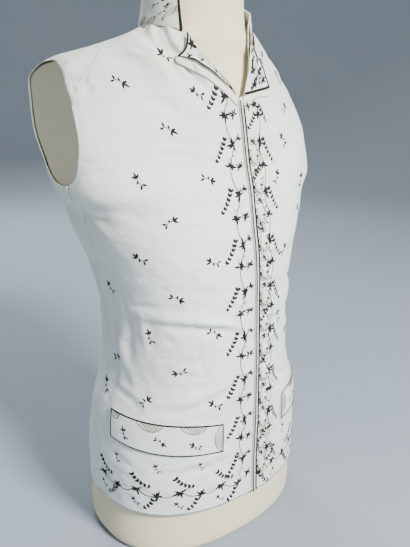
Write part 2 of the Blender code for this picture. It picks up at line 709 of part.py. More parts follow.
def laid_on(name, points, side, extra, thickness, finish):
    """A thin piece that lies on a front, its inner face off the cloth by the gap and extra."""
    inside = panel_top(points, side) + LAP_GAP + extra
    return wall(name, raised(points, inside), raised(points, inside + thickness), finish)


def build_lapel(side, finish, trim):
    """One turned-back lapel and the band along its lower edge."""
    name = "right" if side < 0 else "left"
    shape = LAPELS[name]
    points = ruled_patch(shape["root"], shape["edge"], LAPEL_COLUMNS)
    across = np.linspace(0.0, 1.0, LAPEL_COLUMNS)[None, :]
    roll = LAPEL_ROLL * (1 - across) ** 2 + LAPEL_LIFT * across**3 + 0 * points[..., 0]
    made = laid_on(f"lapel_{name}", points, side, roll, LAPEL_WALL, finish)
    strip = ruled_patch(shape["band_inner"], shape["band_outer"], 3)
    band = laid_on(f"lapel_band_{name}", strip, side, 0.0, TRIM_WALL, trim)
    return made, band


def walk_round(distance, height):
    """Bearings in degrees at distances round the form from its front middle line."""
    bearing = np.linspace(-150.0, 150.0, 301)
    out = np.zeros(distance.shape)
    for index in np.ndindex(distance.shape):
        ring = ring_point(bearing, height[index] + 0 * bearing)
        steps = np.linalg.norm(np.diff(ring, axis=0), axis=1)
        length = np.concatenate([[0.0], np.cumsum(steps)])
        length -= length[len(bearing) // 2]
        out[index] = np.interp(distance[index], length, bearing)
    return out


def build_welt(side, finish):
    """A pocket welt: a slightly curved strip that lies on the front."""
    name = "right" if side < 0 else "left"
    share = np.linspace(0.0, 1.0, WELT_COLUMNS)
    top = smooth([w.share for w in WELT_EDGES], [w.top for w in WELT_EDGES], share)
    bottom = smooth([w.share for w in WELT_EDGES], [w.bottom for w in WELT_EDGES], share)
    level = np.linspace(0.0, 1.0, WELT_ROWS)[:, None]
    height = bottom * (1 - level) + top * level + WELT_LIFT[name]
    distance = WELT_START[name] + side * share * WELT_LENGTH + 0 * level
    points = ring_point(walk_round(distance, height), height)
    return laid_on(f"pocket_welt_{name}", points, side, WELT_LOOSE, TRIM_WALL, finish)


def build_front_band(finish):
    """The narrow band along the edge of the lapping front."""
    level = np.linspace(0.0, 1.0, FRONT_BAND_ROWS)[:, None]
    height = HEM_HEIGHT + (FOLD_HEIGHT - HEM_HEIGHT) * level
    across = LEFT_EDGE_X + SEAM_GAP + np.array([[0.0, FRONT_BAND_WIDTH]])
    points = front_surface(across + 0 * height, height + 0 * across)
    return laid_on("front_band", points, 1, 0.0, FRONT_BAND_WALL, finish)


def build_buttons(finish):
    """The covered buttons: one domed disc, shared by all of them."""
    bm = bmesh.new()
    corners = [bm.verts.new((radius, 0.0, height)) for radius, height in BUTTON_PROFILE]
    edges = [bm.edges.new(pair) for pair in zip(corners, corners[1:])]
    bmesh.ops.spin(
        bm,
        geom=corners + edges,
        cent=(0.0, 0.0, 0.0),
        axis=(0.0, 0.0, 1.0),
        angle=math.tau,
        steps=BUTTON_SIDES,
        use_merge=True,
    )
    bmesh.ops.remove_doubles(bm, verts=bm.verts, dist=1e-5)
    bmesh.ops.recalc_face_normals(bm, faces=bm.faces)
    mesh = bpy.data.meshes.new("button")
    bm.to_mesh(mesh)
    bm.free()
    mesh.materials.append(finish)
    mesh.shade_smooth()
    heights = BUTTON_LOWEST + BUTTON_PITCH * np.arange(BUTTON_COUNT)
    points = front_surface(BUTTON_X, heights)
    seats = raised(points, panel_top(points, 1) + BUTTON_SEAT)
    normals = form_normal(points)
    for number, (seat, normal) in enumerate(zip(seats, normals), start=1):
        made = bpy.data.objects.new(f"button_{number:02d}", mesh)
        turned = Vector(normal).to_track_quat("Z", "Y").to_matrix().to_4x4()
        made.matrix_world = Matrix.Translation(seat) @ turned
        bpy.context.scene.collection.objects.link(made)


def main():
    """Builds the dress form and the waistcoat on it."""
    for old in list(bpy.data.objects):
        bpy.data.objects.remove(old, do_unlink=True)
    canvas = material("form_cloth", (0.72, 0.66, 0.56), 0.9)
    linen = material("linen", (0.80, 0.79, 0.74), 0.85)
    trim = material("trim", (0.74, 0.69, 0.58), 0.85)
    welt = material("welt_linen", (0.79, 0.78, 0.72), 0.85)
    covered = material("button_cloth", (0.77, 0.73, 0.64), 0.8)
    build_form(canvas)
    panel("front_right", front_points(-1), 0.0, linen)
    left = front_points(1)
    panel("front_left", left, lap_lift(left), linen)
    panel("back", back_points(), 0.0, linen)
    build_collar(linen)
    for side in (-1, 1):
        build_lapel(side, linen, trim)
        build_welt(side, welt)
    build_front_band(trim)
    build_buttons(covered)


main()
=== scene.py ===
"""Looks of the embroidered waistcoat on its limbless dress form.

Metres, +Z up, front towards -Y, wearer's left towards +X. Every cloth piece is a thin shell on the
same surface that its solid follows, and the embroidery is thread laid on those shells. Places on
the fronts are given as a distance round the form from its front middle line, positive towards the
wearer's left, and as a height over the hem.
"""

import logging
import math
import random
from collections.abc import Callable, Sequence
from dataclasses import dataclass, field
from enum import Enum
from typing import NamedTuple, Protocol

import bmesh
import bpy
import numpy as np
from mathutils import Matrix, Vector


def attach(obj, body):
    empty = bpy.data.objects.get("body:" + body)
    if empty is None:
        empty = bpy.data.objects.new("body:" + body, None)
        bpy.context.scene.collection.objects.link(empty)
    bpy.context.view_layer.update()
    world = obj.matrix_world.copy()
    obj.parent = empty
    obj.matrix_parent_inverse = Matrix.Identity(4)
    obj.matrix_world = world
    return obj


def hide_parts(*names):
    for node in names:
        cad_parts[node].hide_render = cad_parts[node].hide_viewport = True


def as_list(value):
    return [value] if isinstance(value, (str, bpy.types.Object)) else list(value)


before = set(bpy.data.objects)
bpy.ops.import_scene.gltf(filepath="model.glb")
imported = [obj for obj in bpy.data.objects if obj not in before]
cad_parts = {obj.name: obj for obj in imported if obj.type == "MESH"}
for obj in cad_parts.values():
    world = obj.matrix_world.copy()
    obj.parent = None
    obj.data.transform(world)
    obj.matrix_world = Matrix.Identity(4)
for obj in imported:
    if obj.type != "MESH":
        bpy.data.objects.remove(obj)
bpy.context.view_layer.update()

LOG = logging.getLogger("waistcoat")
Array = np.ndarray
Material, Piece = bpy.types.Material, bpy.types.Object
Tree, Node, Socket = bpy.types.NodeTree, bpy.types.Node, bpy.types.NodeSocket

MM = 0.001
HEM_HEIGHT = 0.068
CAD_CLOTH_WALL = 0.0016
SHELL_WALL = 0.0009
LAP_GAP = 0.0005
LEAST_CLEARANCE = 0.0006

ARM_AXIS_Y = 0.030
ARM_AXIS_Z = 0.573
ARM_PLANE_X = 0.1778
ARM_PLANE_SLOPE = -0.114
ARM_END_INSET = 0.0022
ARM_RIM_WIDTH = 0.0022
ARM_PLATE_RISE = 0.0009
ARMPIT_TURN = -56.0
SHOULDER_TURN = 34.0

LEFT_EDGE_X = 0.006
RIGHT_EDGE_X = 0.034
LAP_FADE = 0.020
LAP_FLAT = 0.003  # past the lower front's edge, before the lap comes down
FOLD_HEIGHT = 0.604
UNDERLAP_TOP = 0.590
UNDERLAP_CORNER_X = LEFT_EDGE_X - 0.005
UNDERLAP_CORNER = FOLD_HEIGHT + 0.004

NECK_CENTRE_Y = -0.011
NECKLINE_RADIUS = 0.0712
NECK_SEAM_ANGLE = 88.0
NECK_TOP = 0.758
COLLAR_RADIUS = 0.0700
COLLAR_SEAT = 0.0023
COLLAR_ENDS = (27.0, 311.0)
COLLAR_END_LEAN = 5.0
COLLAR_WALL = 0.0015

HALVINGS = 30  # of each search for the form's surface
SETTLINGS = 10  # steps that bring a point onto the form
PROBE = 0.0004  # step by which the surface's slope is felt
FORM_REACH = 0.33  # farther out than any place of the form
ARM_REACH = 0.200
SWEEP_X = 0.180  # half width at which a section's sweep is full

SEAM_HALF_TURN = 0.06
SEAM_HALF_ROUND = 0.03


class Side(Enum):
    """Wearer's right or left."""

    RIGHT = -1
    LEFT = 1

    @property
    def word(self) -> str:
        """The side's name as node names spell it."""
        return self.name.lower()


class Hold(Enum):
    """How a sheet of cloth is held."""

    DRAPED = "draped"
    STRETCHED = "stretched"
    FOLDED = "folded"
    LAID = "laid"


class Slot(Enum):
    """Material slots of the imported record."""

    FORM = "form_cloth"
    LINEN = "linen"
    TRIM = "trim"
    WELT = "welt_linen"
    BUTTON = "button_cloth"


class Thread(Enum):
    """Embroidery silks, as material indices of a sewn piece."""

    DARK = 0
    TAN = 1


# ---------------------------------------------------------------- tables of the shape
def table(kind: type, plain: Sequence[str], rows: Sequence[tuple]) -> list:
    """Makes a table's rows from values that are millimetres in all but the plain columns."""
    scale = [1.0 if name in plain else MM for name in kind._fields]
    return [kind(*(value * unit for value, unit in zip(row, scale))) for row in rows]


class FormSection(NamedTuple):
    """One level section of the form: its depths, half width, squareness and swept-back ends."""

    height: float
    half_width: float
    front: float
    back: float
    sweep: float = 0.0
    front_power: float = 2.35
    back_power: float = 2.35
    centre: float = 0.0


FORM_SECTIONS = table(FormSection, ["front_power", "back_power"], (
    (0, 159.5, 118, 132), (13, 160, 119, 132.5), (68, 156, 122.5, 127), (128, 158, 122, 117.5),
    (188, 151.5, 123.5, 108), (258, 129.9, 122.8, 105.5), (328, 126.4, 121, 109.3),
    (398, 139.5, 119, 122), (458, 163.2, 110.8, 130.6), (483, 169, 106.3, 130.2),
    (500, 180.6, 102, 129.2), (518, 186.8, 98, 128.6, 3), (538, 191.5, 94.5, 128.5, 8, 2.3, 2.3),
    (573, 200.5, 88.5, 128, 22, 2.15, 2.3), (608, 199.5, 81.5, 125, 38, 1.9, 2.2),
    (631, 200, 76, 115, 50, 1.58, 2.1), (643.5, 183, 74.2, 104, 50, 1.45, 2),
    (651.5, 160, 73.2, 94, 45, 1.42, 2), (660, 134.5, 73, 84, 34, 1.54, 2, -1),
    (673, 99, 73, 69, 18, 1.85, 2, -4), (680, 82, 72.7, 62, 6, 2, 2, -7),
    (685, 72.5, 72.4, 58, 0, 2, 2, -9), (689, 66.5, 72.1, 54.8, 0, 2, 2, -10),
    (695, 63, 71.7, 51.5, 0, 2, 2, -10.7), (703, 61, 71.3, 49.5, 0, 2, 2, -11),
    (720, 60.2, 71.2, 49.2, 0, 2, 2, -11), (800, 60.2, 71.2, 49.2, 0, 2, 2, -11),
))  # fmt: skip


class Standoff(NamedTuple):
    """Distance from the form to the inner face of the cloth at a height."""

    height: float
    gap: float


STANDOFFS = [Standoff(*row) for row in (
    (0.068, 0.0024), (0.128, 0.0020), (0.258, 0.0016), (0.378, 0.0019), (0.468, 0.0020),
    (0.503, 0.0038), (0.535, 0.0022), (0.600, 0.0022), (0.647, 0.0042), (0.680, 0.0020),
    (0.800, 0.0020),
)]  # fmt: skip


class SeamPoint(NamedTuple):
    """A point of the side seam: its height and its bearing from the front."""

    height: float
    bearing: float


SIDE_SEAM = [SeamPoint(*row) for row in (
    (0.068, 103.0), (0.236, 102.5), (0.365, 101.0), (0.403, 96.0), (0.442, 88.5),
)]  # fmt: skip


class ShoulderPoint(NamedTuple):
    """A point of the shoulder seam in arm coordinates."""

    share: float
    across: float
    turn: float


SHOULDER_SEAM = [ShoulderPoint(*row) for row in (
    (0.00, 1.00, SHOULDER_TURN), (0.33, 0.86, 62.0), (0.60, 0.70, 77.0), (1.00, 0.42, 73.0),
)]  # fmt: skip


class CollarTop(NamedTuple):
    """Height and lean of the collar's top edge at a share of its length."""

    share: float
    height: float
    lean: float


COLLAR_TOPS = [CollarTop(*row) for row in (
    (0.00, 0.690, 0.0026), (0.04, 0.702, 0.0026), (0.12, 0.710, 0.0052), (0.25, 0.721, 0.0064),
    (0.50, 0.727, 0.0064), (0.85, 0.729, 0.0064), (1.00, 0.726, 0.0064),
)]  # fmt: skip


class WeltEdge(NamedTuple):
    """Heights of a welt's long edges at a share of its length."""

    share: float
    top: float
    bottom: float


WELT_EDGES = [WeltEdge(*row) for row in (
    (0.00, 0.1970, 0.1545), (0.35, 0.2040, 0.1600), (0.70, 0.2070, 0.1665), (1.00, 0.2085, 0.1725),
)]  # fmt: skip
WELT_LENGTH = 0.158
WELT_START = {Side.RIGHT: -0.045, Side.LEFT: 0.065}
WELT_LIFT = {Side.RIGHT: 0.0, Side.LEFT: 0.005}


class Crease(NamedTuple):
    """A ridge (rise over 0) or trough between two places, in degrees and heights.

    bow bends its middle sideways, and each crease has a softer partner of the other sign beside
    it, on the side that partner says.
    """

    bearing: float
    height: float
    bearing_end: float
    height_end: float
    width: float
    rise: float
    bow: float = 0.0
    partner: float = 0.0


NOT_LENGTHS = ["bearing", "bearing_end", "partner"]
LARGE_FOLDS = table(Crease, NOT_LENGTHS, (
    (-78, 352, -34, 347, 10, 3), (-36, 346, -8, 330, 8, 2.2), (70, 350, 26, 345, 10, 2.6),
    (-86, 300, -70, 246, 9, 2.2), (84, 292, 66, 240, 9, 2.2), (-52, 230, -14, 252, 8, 2),
    (-50, 598, -18, 556, 10, 2.8), (-46, 560, -14, 524, 10, 2.4), (50, 596, 56, 520, 10, 2.6),
    (130, 345, 176, 336, 11, 2.6), (-132, 338, -178, 350, 11, 2.6), (142, 560, 126, 500, 11, 2.4),
    (-140, 566, -124, 504, 11, 2.4), (168, 262, 128, 244, 10, 2.2), (-166, 250, -126, 262, 10, 2.2),
))  # fmt: skip

FINE_CREASES = table(Crease, NOT_LENGTHS, (
    (-69, 607, -22, 570, 6.5, -1.5, 6, 1), (-56, 602, -24, 556, 6, -1.3, 4, -1),
    (-66, 552, -18, 541, 4.5, 1.1, 4, -1), (-60, 566, -34, 548, 5, -0.8, 2, 1),
    (-64, 336, -9, 318, 4.6, -2.1, 7, 1), (-40, 343, -6, 325, 5, 1.3, 3, -1),
    (-72, 360, -40, 356, 5, -1, 3, 1), (-33, 388, -18, 384, 4, 0.9, 1, -1),
    (-52, 462, -31, 459, 4, -0.7, 1, 1), (-37, 372, -31.5, 270, 3.2, -0.8, -3, 1),
    (-78, 372, -77, 256, 7, -1.3, 5, -1), (-68, 362, -64, 288, 5.5, 1, 3, 1),
    (-92, 340, -88, 228, 7, -1.2, 4, 1), (-48, 271, -35, 269, 3.4, -0.9, 1, 1),
    (-60, 223, -33, 226, 5.5, -1.4, -4, 1), (-36, 229, -6, 255, 5.5, -1.6, -4, -1),
    (-92, 238, -62, 216, 6, -1.3, 3, 1), (-56, 138, -12, 140, 5.5, -0.9, -5, 1),
    (-30, 156, -8, 170, 5, -0.9, 2, -1), (-84, 152, -64, 128, 6, -0.9, 4, 1),
    (-90, 686, -59, 661, 5, -3, 3, -1), (-63, 667, -45, 629, 6, -3.6, 1, -1),
    (-74, 688, -49, 640, 7, 3, 0, 1), (-84, 668, -57, 634, 8, 2, 2, -1),
    (-1.5, 600, -1.5, 82, 3.4, -1.3, 0, 1), (-68, 686, -47, 655, 5.5, -3.4, -1, 1),
    (-43, 642, -25, 616, 6.5, -3.4, 0, 1), (-89, 628, -84, 612, 3, -0.9, 0, 1),
    (-93, 634, -89, 614, 2.8, -0.9, 0, -1), (-97, 500, -80, 452, 6, -1.3, 4, 1),
    (-90, 480, -70, 462, 5.5, -1, 3, 1), (33, 604, 47, 520, 6, -1.3, -6, 1),
    (44, 610, 57, 540, 6, -1.2, -5, 1), (56, 600, 66, 528, 6.5, -1.2, -5, -1),
    (16, 322, 62, 341, 4.8, -1.8, -6, 1), (22, 352, 70, 372, 5, -1.1, 4, -1),
    (14, 250, 40, 226, 5.5, -1.4, -4, 1), (30, 292, 58, 300, 5, 1.2, 3, -1),
    (78, 370, 80, 258, 7, -1.3, -5, 1), (92, 330, 88, 226, 7, -1.2, -4, -1),
    (62, 220, 92, 240, 6, -1.3, -3, -1), (12, 140, 54, 146, 5.5, -0.9, 5, 1),
    (97, 498, 80, 454, 6, -1.3, -4, 1), (64, 556, 26, 512, 6, -1.1, -4, 1),
    (112, 344, 160, 322, 6, -1.6, 5, 1), (126, 374, 176, 362, 6, -1.2, -4, -1),
    (-114, 338, -164, 318, 6, -1.6, 5, 1), (-128, 366, -178, 378, 6, -1.2, 4, -1),
    (118, 288, 168, 276, 6.5, -1.2, 4, 1), (-120, 280, -166, 292, 6.5, -1.2, -4, 1),
    (150, 604, 120, 520, 6.5, -1.4, 5, 1), (-150, 600, -121, 516, 6.5, -1.4, -5, 1),
    (134, 486, 112, 440, 6.5, -1.2, 4, -1), (-136, 490, -113, 446, 6.5, -1.2, -4, -1),
    (160, 634, 199, 630, 6, -1, 6, 1), (148, 196, 140, 92, 7.5, -1.2, 4, 1),
    (-150, 190, -143, 88, 7.5, -1.2, -4, 1), (176, 210, 178, 96, 7.5, 1.2, 3, -1),
    (121, 170, 118, 90, 7, -1.1, 3, -1), (-122, 166, -117, 86, 7, -1.1, 3, -1),
))  # fmt: skip
PLACE_PER_RADIAN = 0.140
CREASE_DEPTH = 1.65
FOLD_TAPER, CREASE_TAPER = (0.12, 0.76), (0.10, 0.80)  # start and length, as shares of a half wave
# Waves of a crease's bend, width and swell: radians along it, and from one crease to the next.
BEND_WAVE, WIDTH_WAVE, SWELL_WAVE = (9.0, 1.7), (2.6, 0.9), (7.0, 1.0)
WIDTH_RANGE, SWELL_RANGE = (0.75, 0.45), (0.8, 0.2)  # the least or middle share, and the wave's
RIPPLE_WAVES = (0.61, 40, 95)  # radians per degree round, and twice per metre up
BEHIND = 165  # degrees past which a crease may cross the back's middle
HEM_TURNING = 0.008
HEM_SOFTNESS = 0.0025
HEM_RELIEF = 0.0004
ARM_TURNING = 0.008
ARM_RELIEF = 0.0004
ARM_LIE_DOWN = 0.016
ARMPIT_BELOW, ARMPIT_FADE = 0.004, 0.014
ARM_EDGE_TOP = 0.0024
RIM_LIFT = 0.00012
LINE_STEP = 0.0016
ARC_SHARES = (0.0, 0.04, 0.12, 0.3, 0.5, 0.7, 0.88, 0.96, 1.0)
ARC_POWER = 0.6  # below 1 makes a scallop fuller than a sine
LATTICE_PITCH = 4.7
LATTICE_STEP = 0.2
LATTICE_LEAST = 0.5
ARC_LINE, LATTICE_LINE = 1.1, 0.8
SHORTEST_DASH = 0.88
LEAF_SWAY = 9  # degrees by which a leaf's direction varies
LEAF_CROWN, LINE_CROWN = 0.2, 0.35  # heights of stitches, as shares of their width

EDGE_POINTS, ROLL_POINTS, SEAM_POINTS, NECK_POINTS = 8, 9, 24, 60
PANEL_COLUMNS = 85
PANEL_ROWS = 150
OPENING_STEPS = {Side.RIGHT: [18, 6, 31, 31], Side.LEFT: [24, 31, 31]}
BACK_STEPS = [26, 60, 26]
BACK_UPPER_ROWS = 120
CAD_BACK_STEPS = 26
BACK_ARMPIT_DIP = 0.014

TRIM_WALL = 0.0014
SEAM_GAP = 0.0003
WELT_LOOSE = 0.0003
LAPEL_WALL = 0.0018
LAPEL_ROLL = 0.0026
LAPEL_LIFT = 0.0012
FRONT_BAND_WIDTH = 0.0040
FRONT_BAND_WALL = 0.0010
BAND_LINE_PLACE = 0.0010
BUTTON_COUNT = 13
BUTTON_PITCH = 0.0357
BUTTON_LOWEST = 0.106
BUTTON_X = 0.0225
BUTTON_SEAT = 0.0007

DOME_LIFT = 62.0
# Heights and how far the form is drawn in there; then heights and radii of the neck.
FORM_FOOT = [(0.0, 0.955), (0.0015, 0.974), (0.003, 0.985), (0.007, 0.996), (0.011, 1.0)]
NECK_RINGS = [
    (0.7220, 0.0602), (0.7360, 0.0602), (0.7500, 0.0602), (0.7535, 0.0597), (0.7560, 0.0581),
    (0.7575, 0.0557), (NECK_TOP, 0.0530), (NECK_TOP, 0.0400), (NECK_TOP, 0.0200),
]  # fmt: skip


# ---------------------------------------------------------------- curves
def shares(count: int) -> Array:
    """Even shares from 0 to 1."""
    return np.linspace(0.0, 1.0, count)


def joined(*coordinates: Array | float) -> Array:
    """Puts coordinates together as points."""
    return np.stack(np.broadcast_arrays(*coordinates), -1)


def sine_cosine(degrees: Array) -> tuple[Array, Array]:
    """The sine and the cosine of angles in degrees."""
    return np.sin(np.radians(degrees)), np.cos(np.radians(degrees))


def smooth(knots: Sequence[float], values: Sequence[float], at: Array | float) -> Array:
    """Reads a smooth curve through the knots that never overshoots between them.

    Args:
        knots: Rising places of the known values.
        values: The known values.
        at: Places to read.

    Returns:
        The values at those places.
    """
    knots, values = np.asarray(knots, float), np.asarray(values, float)
    step = np.diff(knots)
    slope = np.diff(values) / step
    before, after = slope[:-1], slope[1:]
    same_way = before * after > 0
    harmonic = 2 * before * after / np.where(same_way, before + after, 1.0)
    tangent = np.concatenate([slope[:1], np.where(same_way, harmonic, 0.0), slope[-1:]])
    at = np.clip(np.asarray(at, float), knots[0], knots[-1])
    span = np.clip(np.searchsorted(knots, at) - 1, 0, len(step) - 1)
    width = step[span]
    t = (at - knots[span]) / width
    start = (2 * t**3 - 3 * t**2 + 1) * values[span] + (t**3 - 2 * t**2 + t) * width * tangent[span]
    end = (3 * t**2 - 2 * t**3) * values[span + 1] + (t**3 - t**2) * width * tangent[span + 1]
    return start + end


def column(table: Sequence[NamedTuple], key: str, name: str, at: Array | float) -> Array:
    """Reads the column name of a table at places of the column key."""
    return smooth([getattr(r, key) for r in table], [getattr(r, name) for r in table], at)


def resample(points: Array, count: int) -> Array:
    """Cuts an open line of points into equal steps.

    Args:
        points: The line's points, as rows.
        count: How many points to return, ends included.

    Returns:
        The new points.
    """
    points = np.asarray(points, float)
    steps = np.linalg.norm(np.diff(points, axis=0), axis=1)
    length = np.concatenate([[0.0], np.cumsum(steps)])
    at = np.linspace(0.0, length[-1], count)
    return np.stack([np.interp(at, length, points[:, k]) for k in range(points.shape[1])], -1)


def resample_parts(parts: Sequence[Array], steps: Sequence[int]) -> Array:
    """Joins open lines end to end, each cut into its own number of steps."""
    pieces = [resample(part, count + 1)[:-1] for part, count in zip(parts, steps)]
    return np.concatenate(pieces + [parts[-1][-1:]])


def ease(t: Array) -> Array:
    """Goes smoothly from 0 to 1 as t does, and stays there outside."""
    t = np.clip(t, 0.0, 1.0)
    return t * t * (3 - 2 * t)


# ---------------------------------------------------------------- the form's surface
class FormSurface:
    """The dress form's surface, read from its level sections."""

    def shape(self, z: Array) -> dict[str, Array]:
        """Every column of the section table at the heights z."""
        return {n: column(FORM_SECTIONS, "height", n, z) for n in FormSection._fields[1:]}

    def value(self, points: Array, shape: dict[str, Array] | None = None) -> Array:
        """Tells on which side of the surface points lie.

        Args:
            points: Points, with x, y and z last.
            shape: The sections at those points, where they are known already.

        Returns:
            Numbers below 0 inside the form and above 0 outside.
        """
        x, y = points[..., 0], points[..., 1]
        s = shape if shape is not None else self.shape(points[..., 2])
        y = y - s["sweep"] * (x / SWEEP_X) ** 2
        ahead = y < s["centre"]
        depth = np.where(ahead, s["front"] + s["centre"], s["back"] - s["centre"])
        power = np.where(ahead, s["front_power"], s["back_power"])
        across = (np.abs(x) / s["half_width"]) ** power
        return across + (np.abs(y - s["centre"]) / depth) ** power - 1

    def normal(self, points: Array) -> Array:
        """Unit outward normals of the surface near points.

        Args:
            points: Points near the surface.

        Returns:
            The normals.
        """
        parts = []
        for axis in range(3):
            shift = np.zeros(3)
            shift[axis] = PROBE
            parts.append(self.value(points + shift) - self.value(points - shift))
        normal = np.stack(parts, -1)
        return normal / np.linalg.norm(normal, axis=-1, keepdims=True)

    def leave(self, where: Callable[[Array], Array], size: tuple, reach: float, level: bool) -> Array:
        """Finds where paths from inside the form leave it, by halving.

        Args:
            where: Gives the points at distances along the paths.
            size: Shape of the array of distances.
            reach: A distance that is surely outside.
            level: True where each path keeps its height.

        Returns:
            The points on the surface.
        """
        near, far = np.zeros(size), np.full(size, reach)
        shape = self.shape(where(near)[..., 2]) if level else None
        for _ in range(HALVINGS):
            middle = (near + far) / 2
            inside = self.value(where(middle), shape) < 0
            near, far = np.where(inside, middle, near), np.where(inside, far, middle)
        return where(near)

    def ring(self, bearing: Array, height: Array | float) -> Array:
        """The surface at bearings in degrees from the front, at heights.

        Args:
            bearing: Bearings; the wearer's right is negative.
            height: Heights.

        Returns:
            The points.
        """
        bearing, height = np.broadcast_arrays(np.asarray(bearing, float), np.asarray(height, float))
        sine, cosine = sine_cosine(bearing)

        def where(distance: Array) -> Array:
            """Points straight out at the distances."""
            return joined(sine * distance, -cosine * distance, height)

        return self.leave(where, bearing.shape, FORM_REACH, True)

    def dome(self, bearing: Array, lift: float) -> Array:
        """The surface along rays that rise by lift degrees from the arm axis height.

        Args:
            bearing: Bearings in degrees from the front.
            lift: How steeply the rays rise.

        Returns:
            The points.
        """
        flat, up = math.cos(math.radians(lift)), math.sin(math.radians(lift))
        sine, cosine = sine_cosine(bearing)

        def where(distance: Array) -> Array:
            """Points out along the rays."""
            out = flat * distance
            return joined(sine * out, -cosine * out, ARM_AXIS_Z + up * distance)

        return self.leave(where, bearing.shape, FORM_REACH, False)

    def front(self, x: Array | float, height: Array | float) -> Array:
        """The front of the form at given x and heights."""
        x, height = np.broadcast_arrays(np.asarray(x, float), np.asarray(height, float))
        return self.leave(lambda d: joined(x, -d, height), x.shape, FORM_REACH, True)

    def yoke(self, across: Array | float, turn: Array | float) -> Array:
        """The surface in arm coordinates.

        Args:
            across: x over the armhole plane's x, so -1 and 1 on the armhole edges.
            turn: Degrees about the arm axis: 0 forwards, 90 up, 180 back.

        Returns:
            The points.
        """
        across, turn = np.broadcast_arrays(np.asarray(across, float), np.asarray(turn, float))
        sine, cosine = sine_cosine(turn)

        def where(distance: Array) -> Array:
            """Points at the distances from the arm axis."""
            z = ARM_AXIS_Z + distance * sine
            return joined(across * arm_plane_x(z), ARM_AXIS_Y - distance * cosine, z)

        return self.leave(where, across.shape, ARM_REACH, False)

    def yoke_place(self, points: Array) -> Array:
        """Works out the arm coordinates (across, turn) of points.

        Args:
            points: The points.

        Returns:
            Their coordinates.
        """
        x, y, z = points[..., 0], points[..., 1], points[..., 2]
        turn = np.degrees(np.arctan2(z - ARM_AXIS_Z, ARM_AXIS_Y - y))
        return joined(x / arm_plane_x(z), turn)

    def neckline(self, angle: Array, radius: float = NECKLINE_RADIUS) -> Array:
        """Points of the surface round the neck's axis.

        Args:
            angle: Degrees round the neck from the front.
            radius: Their distance from the neck's axis.

        Returns:
            The points.
        """
        sine, cosine = sine_cosine(angle)
        x, y = radius * sine, NECK_CENTRE_Y - radius * cosine
        reach = NECK_TOP - ARM_AXIS_Z
        return self.leave(lambda d: joined(x, y, ARM_AXIS_Z + d), x.shape, reach, False)

    def nearest(self, points: Array) -> Array:
        """Moves points that are close to the form onto its surface.

        Args:
            points: The points.

        Returns:
            The moved points.
        """
        for _ in range(SETTLINGS):
            value, slope = self.value(points), self.normal(points)
            ahead = self.value(points + slope * PROBE)
            points = points - slope * (value * PROBE / (ahead - value))[..., None]
        return points

    def raised(self, points: Array, distance: Array | float) -> Array:
        """Moves surface points out along the normals by distances."""
        return points + self.normal(points) * np.asarray(distance)[..., None]


def arm_plane_x(height: Array | float) -> Array:
    """Half distance between the two armhole planes at a height."""
    return ARM_PLANE_X + ARM_PLANE_SLOPE * (height - ARM_AXIS_Z)


def bearing_of(points: Array) -> Array:
    """Degrees round the form from the front; wearer's right is negative."""
    return np.degrees(np.arctan2(points[..., 0], -points[..., 1]))


SURFACE = FormSurface()


